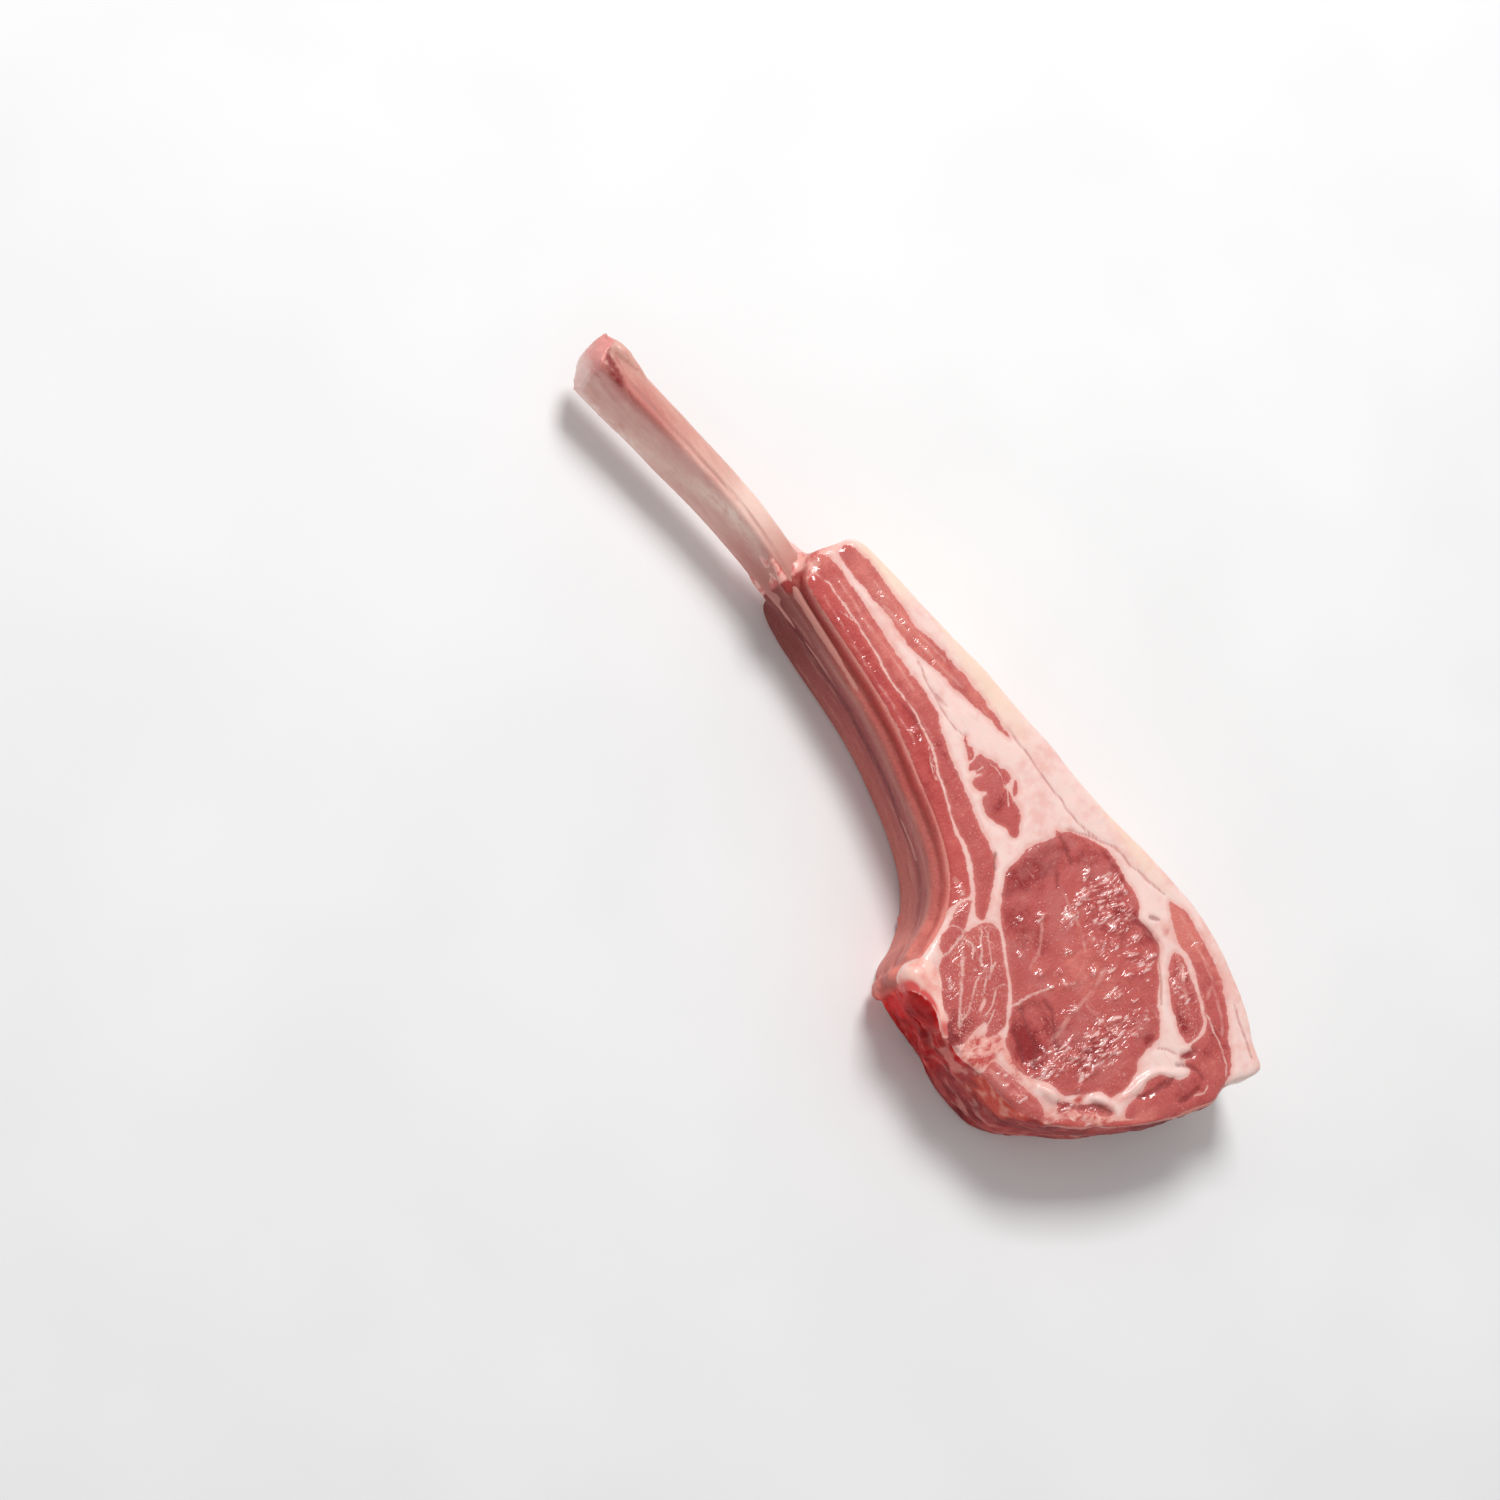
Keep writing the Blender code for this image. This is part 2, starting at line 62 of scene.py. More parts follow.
# ---------------------------------------------------------------- shapes, as the solids have them
# x, y, and how far the back face lies outside the front face there.
MEAT_OUTLINE = [
    (-0.4, 31.8, 1.6), (1.2, 34, 0.2), (4.6, 36, -1), (9.5, 35, -1.4), (13.9, 33.4, -0.8), (15.8, 28, 0),
    (17.4, 18, 0), (19.3, 5.6, 0), (21.2, -6.5, 0), (22.7, -20, 0), (24.1, -32, 0), (26.1, -42, 0),
    (27.9, -52, 0), (28.8, -61, 0), (28.6, -69, 0), (27.4, -76, 0), (25.5, -83, 0), (23.1, -88.2, 0),
    (21.9, -92, 0), (20.9, -93.1, 0), (18, -92.9, -0.3), (15, -91.9, -0.5), (12.3, -91.5, -0.6),
    (9.4, -92.6, -0.6), (6, -91.6, -0.5), (0, -89.9, -0.2), (-6, -86.9, 0.1), (-12, -83.5, 0.2),
    (-18, -79.1, -0.1), (-22.8, -75.2, -0.1), (-25.9, -70.6, 0.5), (-26.8, -65, 0.9), (-28.1, -60, -0.1),
    (-29.3, -55.5, -2.2), (-28.9, -49.5, -1.7), (-29.6, -44, -2.4), (-29, -40, -2.6), (-24.5, -37.2, 0.6),
    (-19.5, -35.5, 1), (-15.5, -33.5, 1.4), (-12, -30.3, 1.5), (-9.2, -26.3, 1.5), (-7.2, -21.5, 1.4),
    (-5.6, -15.9, 1.2), (-4.2, -9.5, 1.2), (-2.7, -3, 1.5), (-1.6, 4, 1.9), (-1.1, 12, 2.2),
    (-0.9, 20, 2.4), (-0.8, 27, 2.3),
]
FRONT_EDGE, BACK_EDGE, SIDE_BULGE = 1.8, 1.4, 0.5
EYE_SWELL, TAIL_THINNING = 0.9, 1.2
HOLLOW_DEPTH = 2.4                # of the drop beyond the gristle

# The rib's middle line: x, y, twist in degrees, scale.
RIB_LINE = [
    (-23.5, -38.7, 0, 0.9), (-19, -36.9, 0, 0.95), (-14.7, -34.7, 0, 1), (-10.9, -31.2, 0, 1),
    (-8.1, -27, 0, 1), (-6, -22, 0, 1), (-4.5, -16.3, 0, 1), (-3.1, -10, 0, 1), (-1.7, -3.5, 0, 1),
    (-0.6, 4, 0, 1), (-0.1, 12, 0, 1), (0.1, 20, 4, 1), (0, 29, 9, 1), (-0.2, 38, 14, 1.04),
    (-0.7, 47, 18, 1.08), (-1.8, 55.5, 20, 1.1), (-3.3, 64, 21, 1.11), (-5, 73.5, 22, 1.12),
    (-6.9, 83, 22, 1.16), (-8.7, 93, 22, 1.17), (-9.7, 99, 22, 1.17),
]
RIB_THIN, RIB_WIDE, RIB_HEIGHT = 6, 11.2, 13.2
RIB_END = (-8.2, 89.4)            # a point of the saw's plane at the rib's height
RIB_END_SLANT, RIB_END_TILT = 36, 6      # degrees
RIB_END_DIRECTION = (-0.18, 0.98, 0)      # along the rib at its end
# Half sizes round the bare rib's section, from the front edge round the outer side: across, up. The
# sharper corner near the end is the ridge between the broad inner face and the front edge.
RIB_SECTION = [
    (0, 0.97), (0.45, 0.97), (0.86, 0.8), (1, 0.42), (1, 0), (0.95, -0.5), (0.62, -0.9), (0, -1),
    (-0.6, -0.91), (-0.94, -0.52), (-0.86, -0.1), (-0.88, 0.3), (-0.97, 0.62), (-0.93, 0.83), (-0.72, 0.9),
    (-0.45, 0.9), (-0.2, 0.95),
]
COLLAR_LINE = [
    (3.2, 27, 4.6), (2.9, 33, 4.4), (2.5, 38, 3.5), (2.1, 42, 2.6), (1.7, 46.5, 1.9),
]

# ---------------------------------------------------------------- what shows on the cut face
# Lean pieces and what is coloured like them, in four groups: no two pieces of a group lie within a
# seam's width of each other.
LEAN = [
    [
        # the eye
        [(-7.5, -42), (-6.3, -40), (-5, -38.4), (-3.8, -37), (-2, -35.2), (0, -33.9), (1.6, -33.5),
         (3, -33.4), (4.6, -32.8), (6.2, -32.7), (8, -33), (9.4, -33.3), (10.6, -33.8), (12.2, -33.9),
         (12.9, -33.4), (13.4, -32.9), (13.9, -33.9), (15.5, -35), (16.8, -36.6), (18, -38.4),
         (19.2, -40.4), (19.8, -42.3), (19.9, -45), (19.6, -48), (19.5, -51), (19, -53.4), (18, -54.7),
         (17, -55.9), (17.5, -58), (17.7, -60.5), (17.4, -62.3), (16.2, -63.8), (14.4, -65.8),
         (13.2, -67.6), (11.8, -69.2), (10.2, -71.3), (9.2, -73), (8, -74.8), (6.6, -76), (4.5, -76.4),
         (2.5, -76.6), (0.4, -77.2), (-0.6, -78.4), (-2.5, -79.2), (-4.6, -79.8), (-6.5, -79.6),
         (-8.4, -79.2), (-9, -77.6), (-10.4, -76.6), (-12, -76.1), (-13.4, -75.1), (-15.4, -74.2),
         (-16.1, -73), (-16.6, -71.2), (-17.8, -69.2), (-19.2, -67.4), (-20.2, -65.8), (-20.4, -64),
         (-20.3, -62), (-20.2, -60.2), (-19.4, -58.9), (-17.6, -57.5), (-15.8, -55.9), (-14.2, -54.4),
         (-12.9, -52.6), (-11.8, -50.8), (-10.9, -49.2), (-10.2, -47.5), (-9.2, -45.6), (-8.2, -43.9)],
        # the outer strip of the tail
        [(8.7, 31.5), (9, 33.2), (10.8, 33.6), (12.2, 32.4), (12.7, 30), (13, 27.5), (13.2, 24), (13.3, 18),
         (13.4, 13), (14.4, 9.5), (15, 6), (15.3, 3), (15.9, 1), (15.9, -2), (16.2, -5), (16.3, -8.5),
         (16.3, -12), (16.1, -14), (15.4, -11.6), (14.9, -9), (14.2, -6.6), (13.4, -3.4), (12.4, 0.4),
         (11.9, 3), (11, 5.5), (10.3, 8.5), (9.8, 12), (9.7, 14), (9.9, 17), (9.6, 20), (9.3, 23), (9, 26),
         (8.6, 29)],
        # the small lobed piece above the eye
        [(6.2, -13.3), (8, -13.2), (9.3, -13.3), (9.7, -14.4), (10.4, -15.2), (10.9, -16.2), (10.9, -17.5),
         (11.7, -18.2), (12, -19.4), (11.5, -20.5), (10.3, -20.8), (9.4, -20.8), (9.8, -21.8), (9.7, -22.9),
         (9.2, -24), (9.4, -25.5), (9.1, -26.8), (8.3, -27.6), (7.4, -28.4), (6.8, -29.3), (5.8, -29.9),
         (5, -29.5), (4.8, -28.4), (4.9, -27.2), (4.2, -26), (3.6, -24.6), (3.2, -23), (3.6, -21.2),
         (4.4, -20.3), (5.8, -20.2), (5.9, -19.7), (4.8, -18.8), (4.2, -17.8), (4.2, -16.7), (5.2, -16.1),
         (6.4, -16.2), (7.1, -16.5), (7.4, -16), (6.4, -15.5), (6.7, -15), (5.5, -14.6), (5.5, -14.1)],
        # a hole in the fat of the crescent, coloured as lean and darkened with painted shade
        [(8.4, -81.2), (9.6, -81.2), (11, -81.8), (11.4, -82.6), (10, -82.8), (8.8, -82.2)],
        # the orange-red roll at the side
        [(-36, -61.6), (-28, -61.4), (-26, -61.3), (-24.2, -60.8), (-23.2, -61.6), (-22.6, -64.2),
         (-21.6, -67.2), (-21, -70), (-20.4, -72.6), (-21.2, -74.6), (-24, -76.6), (-34, -76)],
    ],
    [
        # the lobed piece between the eye and the backbone
        [(-20.3, -39.4), (-19.4, -37.4), (-17.8, -36.1), (-16.2, -35.7), (-14.8, -35), (-13, -34.2),
         (-11.4, -33.8), (-9.6, -33.9), (-9, -34.5), (-10.4, -35.6), (-12, -36.9), (-13.5, -37.8),
         (-12.4, -38.2), (-11, -38.4), (-9.9, -38.9), (-8.7, -39.8), (-8.1, -41.2), (-8.6, -43.2),
         (-9.8, -45.4), (-10.8, -47.6), (-11.6, -49.2), (-12.6, -50.8), (-14, -52.6), (-15.3, -54),
         (-16.6, -55.8), (-18, -56.9), (-20.4, -57), (-22.2, -56.2), (-21, -55.4), (-20.4, -54.2),
         (-22.4, -53.9), (-24.6, -54.3), (-26.6, -54.7), (-28.2, -54.4), (-29.3, -53.2), (-28.8, -51.4),
         (-27.4, -50.1), (-26.3, -49.8), (-26.1, -48), (-25.7, -46.2), (-24.4, -44.9), (-23.2, -43.5),
         (-22.4, -41.8), (-21.7, -40.4)],
        # the inner piece of the fat cap's crescent
        [(18.2, -65.1), (19.6, -64.9), (20.2, -66), (20, -68), (19.2, -70.2), (18.8, -72.6), (18, -75),
         (17, -77), (16.2, -78.9), (14.8, -80.1), (12.8, -80.2), (11, -80.2), (10.9, -78), (11.6, -75.6),
         (12.2, -74), (13, -71.6), (14.4, -69.4), (16, -67.6), (17, -66.2)],
        # the tip of the small piece
        [(9.1, -8.8), (8, -9.2), (7.7, -10.7), (6.9, -11.8), (6.5, -12.7), (7.5, -12.9), (8.4, -12.7),
         (8.6, -11.6), (8.3, -10.1)],
        # loose red trimmings along the lower edge
        [(-15.4, -77.5), (-14.2, -77), (-12.6, -77.7), (-11.4, -78.8), (-10.4, -80.3), (-9.5, -82.3),
         (-10.4, -82.6), (-11.8, -81.4), (-12.8, -80.1), (-14.2, -79), (-15.6, -78.4)],
    ],
    [
        # the middle strip
        [(2.9, 33.2), (3.6, 34.8), (5, 35.3), (6.4, 34.2), (7.4, 31), (7.3, 27), (7.1, 20), (6.8, 14),
         (6.9, 8), (7, 4), (7.1, 0), (6.7, -2.4), (6, -3.6), (5.4, -5), (4.7, -7.4), (4, -9), (3.6, -11),
         (3.1, -13.5), (2.6, -16), (2.2, -18.4), (1.4, -21), (0.8, -24), (0.4, -27), (-0.2, -29.5),
         (-1.2, -31.6), (-3, -33.6), (-5.2, -35.6), (-7, -37), (-8.6, -38.5), (-9.8, -38.6), (-10.2, -37.6),
         (-9.4, -36.2), (-8, -34.3), (-6.4, -31.9), (-4.8, -28.9), (-3.9, -25.9), (-3.5, -23),
         (-2.9, -20.2), (-2.1, -17.8), (-1, -15), (0.1, -12), (1.2, -9), (2.2, -6), (2.7, -3.8), (3, -0.5),
         (2.9, 3), (2.8, 7), (3.1, 11), (3.6, 15), (3.9, 20), (3.9, 25), (3.7, 29), (2.9, 31.4)],
        # the outer piece of the crescent and the foot
        [(24.4, -56.7), (25.4, -58.4), (26.1, -60.2), (26.2, -62.4), (25.8, -64.8), (25.6, -68),
         (25.2, -70.5), (24.8, -73), (24, -75.2), (23, -77), (22.5, -78.6), (21.4, -80.2), (20.6, -81.8),
         (19.2, -83.6), (18.2, -85.2), (17.2, -86.9), (16.4, -88.2), (14.6, -90), (13, -91.4), (12.6, -97),
         (-3, -97), (-4, -92), (-4.6, -87.6), (-7, -85.2), (-8, -84), (-6.8, -82.9), (-4.4, -82.5),
         (-2.2, -82.2), (0, -81.5), (1.7, -81.5), (3.1, -82.3), (4.2, -83.6), (5.4, -84.9), (7, -85.3),
         (8.3, -84.7), (8.1, -83.2), (8.6, -82.2), (9.6, -82.8), (10.8, -82.2), (11.2, -81), (12.8, -80.9),
         (15, -80.8), (16.6, -79.6), (17.7, -77.4), (18.9, -74.8), (20, -72.2), (20.9, -69.6), (21.3, -67),
         (21.2, -64.2), (21.8, -62), (22.6, -60), (23.6, -58)],
        # loose red trimmings
        [(-19, -75.9), (-17.7, -74.4), (-16.6, -74.7), (-15.4, -75.9), (-14.6, -76.6), (-16.2, -77),
         (-17.8, -76.4)],
        # a scrap beside the small piece
        [(11.2, -21.4), (12.1, -20.9), (12, -22), (11, -23), (9.9, -23.5), (10.2, -22.5)],
    ],
    [
        # the strip against the rib
        [(-8, 29), (-4, 31), (0, 32.2), (2, 32.4), (3.2, 30.6), (3.6, 28), (3.7, 22), (3.6, 18), (3, 13),
         (2.6, 9), (2.6, 5), (2.8, 2), (2.7, -1), (2.4, -3.6), (1.8, -6.6), (0.7, -9.4), (-0.5, -12.4),
         (-1.7, -15.8), (-3, -19.4), (-4.1, -22.4), (-4.9, -25.6), (-5.9, -28.6), (-7.2, -31.4),
         (-8.6, -33.3), (-10.6, -33.2), (-13.6, -33.2), (-17, -33), (-16, -24), (-13, -14), (-10, -4),
         (-8.6, 8), (-8, 20)],
        # the rim of the foot and the wall below it
        [(-1.6, -89.2), (-3.6, -87.8), (-6, -86), (-8.6, -84.2), (-10.6, -83.4), (-12.2, -82.9),
         (-13.4, -82.6), (-14.2, -81), (-15.6, -79.6), (-17.2, -78.6), (-18.4, -77.4), (-20.4, -76.6),
         (-22.6, -76.4), (-27, -77), (-34, -84), (-20, -99), (-5, -99)],
    ],
]

# Pale lines through the lean: half width, then points.
PALE_LINES = [
    (0.2, [(3.6, 29.3), (3.9, 24), (3.9, 19), (3.4, 14), (2.9, 9.7), (2.8, 6), (3, 3), (2.8, 0),
        (2.7, -2.5)]),
    (0.26, [(2.7, -2.5), (2.1, -6.3), (1, -9.2), (-0.2, -12.4), (-1.3, -15.6), (-2.5, -18.6), (-3.6, -22),
        (-4.4, -25.8)]),
    (0.3, [(-20.6, -39.5), (-18.6, -39.7), (-16.6, -39), (-15, -38.6), (-13.6, -38), (-12.4, -37.6)]),
    (0.17, [(-16.2, -35.6), (-15.1, -36), (-14.4, -36.8), (-14.1, -37.8)]),
    (0.19, [(-15, -38.7), (-14.3, -39.8), (-14.1, -41.2), (-14.6, -42.2), (-15.3, -42.9)]),
    (0.24, [(-10.2, -38.6), (-11.8, -40.9), (-13.2, -42.8), (-14.6, -44.6), (-14.7, -46), (-15.8, -47.8),
        (-17.2, -49.2)]),
    (0.34, [(-16, -40), (-17.2, -42.2), (-18.6, -43.7), (-20, -45.4), (-21.5, -47.2), (-23, -48.9),
        (-24, -50.2), (-24.8, -51.4)]),
    (0.22, [(-14.8, -45.8), (-16.4, -46.6), (-18, -47.4), (-19.4, -48.6), (-21, -49.8), (-22.6, -50.8),
        (-24.6, -51.5)]),
    (0.15, [(-9.8, -40.5), (-10.8, -42.2), (-11.8, -44), (-13, -45.8), (-14.6, -47.4)]),
    (0.16, [(-12.6, -46.3), (-13.8, -46.9), (-15, -48)]),
    (0.17, [(-13.6, -50.6), (-15, -50.1), (-16, -51), (-16.8, -51.7), (-17.8, -52.6), (-19.4, -53)]),
    (0.17, [(-22.8, -55.1), (-21.4, -55), (-19.6, -54.3), (-18, -53.6)]),
    (0.2, [(-10.3, -39.7), (-9.4, -40.1), (-8.2, -41.2)]),
    (0.26, [(-14.2, -54.6), (-12, -54.9), (-9.6, -55.2), (-7.6, -55.8), (-6, -56.1)]),
    (0.16, [(6.1, -15.15), (7.8, -15.2)]),
    (0.13, [(9.6, -15.9), (10.3, -17.6), (10, -19.4), (9.5, -20.8)]),
    (0.13, [(9.6, -21.6), (8.8, -22.8), (8, -24)]),
    (0.32, [(2.2, 32.6), (1.2, 32.8), (0.2, 32.2), (-0.3, 31), (-0.5, 26), (-0.9, 20), (-1.3, 12),
        (-1.3, 5), (-1.8, 0), (-2.7, -5), (-3.9, -9.5), (-5, -13), (-6.3, -17.5), (-7.7, -22), (-9.5, -26),
        (-11.5, -29.3), (-13.6, -31.8), (-15.6, -33.6)]),
    (0.12, [(2.4, 24), (3, 22.8), (3.4, 21.4)]),
    (0.14, [(1, -6.6), (-0.2, -9.4), (-1.2, -12)]),
    (0.2, [(17.6, -78.3), (16.8, -81.8), (16.4, -84.4), (15.4, -87.4), (14.1, -89.4)]),
    (0.13, [(-26, -56.6), (-24.6, -56.9), (-23.2, -57.5)]),
    (0.18, [(6.6, -89.2), (8.4, -89.6), (9.4, -88.9)]),
]
# Fainter ones, blurred into the flesh.
FAINT_LINES = [
    (0.4, [(-25.2, -62), (-24.6, -65.6), (-23, -69.4), (-20.8, -73.4)]),
    (0.28, [(-23.6, -61.8), (-22.8, -65.4), (-21.6, -69.2)]),
    (0.4, [(-12, -64.4), (-8, -63.2), (-3, -62), (0.6, -61.4), (3.4, -60.2), (5.4, -59.6)]),
    (0.28, [(-2, -63), (-1.2, -66.4), (-0.6, -69), (0.2, -72)]),
    (0.3, [(10, 20.5), (10.6, 17), (11.4, 13), (12.2, 8), (12.9, 3), (14, -1)]),
    (0.28, [(11.4, 25), (11.9, 20), (12.3, 15), (13.2, 10), (14.2, 5)]),
    (0.26, [(5.8, 30), (5.6, 24), (5.4, 18), (5.6, 11), (5.4, 4)]),
    (0.26, [(1.4, 28), (1, 20), (0.4, 12), (0.2, 4), (-0.6, -4)]),
    (0.3, [(24.6, -60), (24.2, -64), (23.6, -69), (22.4, -74), (20.6, -78.6), (18.2, -83)]),
    (0.34, [(24.2, -75), (22.6, -74.4), (21.4, -74.8), (19.6, -75.9)]),
    (0.34, [(19.4, -66), (18, -69), (16.4, -72), (14.6, -76)]),
    (0.4, [(-9.3, -29.4), (-9.1, -31.2), (-9.4, -32.8), (-8.6, -33.6)]),
    (0.3, [(-7.8, -51), (-4, -49.4), (-1, -46.6), (1, -43)]),
    (0.26, [(7, -43), (6, -47), (5.6, -51), (3.8, -55)]),
]
# Pale patches inside the lean.
PALE_PATCHES = [
    [(-20.4, -51.7), (-19.4, -50.9), (-18.2, -50.4), (-18, -51), (-18.8, -51.6), (-19.6, -51.9)],
    [(-26.6, -55.6), (-24.8, -54.9), (-23.2, -54.1), (-21.4, -54), (-21.6, -54.7), (-23.4, -55.3),
     (-25.4, -56)],
    [(-13.8, -38.2), (-12.4, -37.4), (-10.9, -36.8), (-9.9, -37.4), (-10.2, -38.5), (-11.6, -38.6)],
    [(-16.8, -78.1), (-15.4, -78.3), (-14, -79.2), (-12.8, -79.9), (-12, -81.4), (-12.4, -82.4),
     (-13.4, -81.4), (-14.6, -80.2), (-16, -79.2)],
    [(6.5, -88.7), (7.6, -88.6), (8.3, -89.2), (7.2, -89.6)],
    [(-19.6, -69.2), (-18.4, -69.2), (-17.4, -70.5), (-16.5, -72.4), (-16.9, -73.7), (-18.2, -74.1),
     (-19.3, -73.5), (-19.6, -71.5)],
    [(-12, -77.5), (-10.8, -76.9), (-9.7, -77.4), (-8.9, -78.8), (-8.2, -80.6), (-8.3, -82.5),
     (-9.2, -82.8), (-9.8, -81), (-10.5, -79.6), (-11.6, -78.6)],
    [(19.8, -67.4), (19, -68.6), (17.5, -70.6), (17.3, -70.2), (18.4, -68.6)],
]
# Creases in the lean, sunk into the relief and darkened with painted shade: half width, then points.
CREASES = [
    (0.36, [(6.9, -82.2), (8.4, -83.8), (9.3, -85.2), (9.7, -87.2)]),
    (0.34, [(13.2, -34.4), (12.9, -36.4), (12.2, -38.4), (11.8, -39.9)]),
    (0.3, [(-1.6, -32.2), (-0.8, -31), (0.2, -29.8)]),
    (0.34, [(-3.6, -82.6), (-1.8, -83.2), (0.4, -83.6), (2.6, -83.6), (4.1, -83.9)]),
    (0.4, [(3.2, -87.9), (5.3, -88.5), (7.4, -88.6)]),
    (0.6, [(8.8, -81.7), (9.8, -82.2), (11.1, -82)]),
    (0.4, [(-26.6, -50.6), (-27.6, -52.4), (-27, -54.2)]),
    (0.4, [(-13.2, -56.2), (-14.3, -59.8), (-15.2, -63.6), (-17.4, -66.4)]),
    (0.32, [(-8.4, -57.4), (-8.7, -60.2), (-10.8, -63.8), (-12, -66.4)]),
    (0.26, [(-17.2, -58.4), (-17.6, -61.4), (-18.6, -64.4)]),
    (0.34, [(19.2, -57), (20.3, -58.2)]),
    (0.44, [(15.8, -55.4), (17, -57.4), (17.5, -59.6), (17.6, -61.4)]),
    (0.4, [(-17.6, -74.7), (-16.2, -75.6), (-14.8, -77.3), (-13, -78.1), (-11.4, -79.6), (-10, -81.8)]),
    (0.34, [(-28.4, -51.6), (-28.8, -53.4), (-28.2, -55.4)]),
    (0.26, [(6.6, -42), (8.2, -39.7)]),
    (0.3, [(1.6, 4), (2.2, 0.6), (2, -2.4)]),
]
# Thin folds in the fat, sunk into the relief and darkened with painted shade.
FOLDS = [
    (0.3, [(15.2, -34.2), (16.8, -36), (18.4, -38), (20.2, -40.4), (21.2, -42.2), (21.8, -44.4),
        (22, -46.8)]),
    (0.26, [(17, -12), (17.3, -22), (17.6, -30), (18.1, -35), (19.2, -38.4)]),
    (0.26, [(22.2, -47.4), (23.2, -51), (24.5, -55)]),
    (0.24, [(8.9, -9), (8, -6.4), (7.8, -3), (8.4, 1)]),
    (0.26, [(9.4, 8), (8.6, 3), (9, -2)]),
    (0.24, [(17.4, -61.8), (15.2, -65.4), (13, -68.6), (11.2, -71.6)]),
    (0.24, [(23.6, -80), (21.8, -85), (20.4, -90)]),
    (0.26, [(5.2, -77.4), (6.8, -78.6), (7.8, -80.4)]),
]
# Wet welts on the eye, raised in the relief and with painted glints on them: x, y, length, degrees from the
# x axis.
WELTS = [
    (10, -46.1, 4.2, 9), (10.6, -45, 2.6, 14), (7.6, -46.9, 2, 8), (5.2, -48.3, 5, 13),
    (17.4, -46.8, 2.4, -9), (14.6, -48.7, 2.6, 5), (17.2, -49.6, 3, -15), (10.1, -49, 1.7, 25),
    (11.5, -52.1, 3, -18), (15, -52.5, 2, -9), (14.2, -51, 2.2, -25), (8, -55.6, 2, 0),
    (11, -54.5, 2.4, -4), (14.8, -58.2, 3.3, -1), (14.3, -62.8, 3.8, -11), (11.6, -60.3, 2.8, -23),
    (6.2, -60.5, 2.8, 2), (8.6, -63, 2.4, 1), (12.1, -64.6, 3.2, -21), (11.3, -66.1, 1.6, -7),
    (-2.2, -57.7, 3.8, -6), (-5.4, -61.9, 3.2, -14), (4, -65.2, 2.6, -3), (3, -72.9, 2.2, -25),
    (-4.9, -68.3, 2.2, -6), (-0.4, -70.4, 2, -55), (-10.6, -67.4, 3.2, -4), (-7.2, -69.3, 3, -31),
    (-15.8, -67.9, 5, -1), (-10, -69.6, 4, -39), (-6, -71.7, 3.8, -12), (-2.4, -73.1, 3.8, -17),
    (-9.4, -73.3, 3.4, -5), (-13.6, -69.6, 1.6, -41), (-14.1, -64.6, 1.8, 88), (-3.2, -42.6, 1.4, -3),
    (0.7, -44.4, 2, 8), (-7.4, -48, 1.2, 8), (-6.3, -52.9, 1.4, 13), (-2.7, -55, 1.3, -9),
    (-6, -56.2, 1.3, -17), (0.9, -52.7, 2.6, -26), (13.3, -43.1, 4.4, 26), (18.1, -69.8, 2.4, 25),
    (15.6, -70.7, 2, -12), (13, -55.8, 2.4, 4), (9.8, -57.4, 2, 8), (-12.6, -74.2, 2, 2),
    (1.6, -68.4, 2.4, -16), (6.8, -67.6, 2.2, -10), (9.4, -51, 1.8, 12), (3, -58.6, 1.6, 14),
]
# Soft spots: x, y, the radius along x, the radius along y, strength. First where the lean is dark or
# bright, then where the face is wet, and then where the fat is cream.
# Some of the dark spots, along the eye's edge under the raised fat, are painted shade.
DARK_SPOTS = [
    (6, -36.5, 11, 4.4, 1.1), (-4, -45, 6, 8, 0.55), (12.6, -37.4, 1.4, 3, 0.9), (17.2, -58.6, 1.3, 4, 1.1),
    (19, -45, 1.2, 6, 0.9), (-16, -61, 4.2, 5.6, 1.5), (-10, -61, 3.2, 4.6, 0.7),
    (-3.8, -49.2, 2, 2.6, 0.7), (4.8, -75, 2, 1.5, 1), (15.4, -40.5, 3.2, 3.2, 0.7),
    (10, -82, 1.3, 0.9, 1.3), (-27.6, -51.8, 1.6, 2.2, 0.9), (-27.4, -56, 1.4, 1.6, 0.9),
    (1.4, 14, 1.9, 16, 0.9), (1.6, 0, 1.7, 8, 0.9), (-0.6, -8, 1.7, 7, 0.8), (-3.6, -17, 1.6, 9, 0.6),
    (3.2, -10, 1.2, 6, 0.6), (6, -22.6, 2.6, 2.6, 0.5), (12.2, -76.5, 1.4, 3.2, 0.8),
    (16.4, -83.5, 2.4, 3.4, 0.4), (-17.7, -63.4, 1.2, 1.2, 1.2), (-11.8, -80, 1.4, 2.4, 0.5),
    (2.6, -84, 3.2, 1.2, 0.8), (6, -88, 3.6, 0.9, 0.8), (13, -50, 5, 8, 0.3), (-25, -52.4, 2.6, 2.2, 0.5),
    (8.2, -39.7, 0.9, 1.2, 0.7), (-17.2, -75.3, 1.6, 0.9, 0.7), (1, 24, 1.4, 5, 0.7),
    (-10.6, -80.6, 1.4, 1.6, 0.6), (-2, -83, 2, 0.8, 0.9), (-4, -71, 9, 3, 0.5), (0.4, 6, 1.4, 9, 0.6),
    (6, -86.4, 7, 2.4, 0.5), (12.6, -84.2, 2.2, 1.4, 0.6), (0, -84.8, 3, 1, 0.4),
]
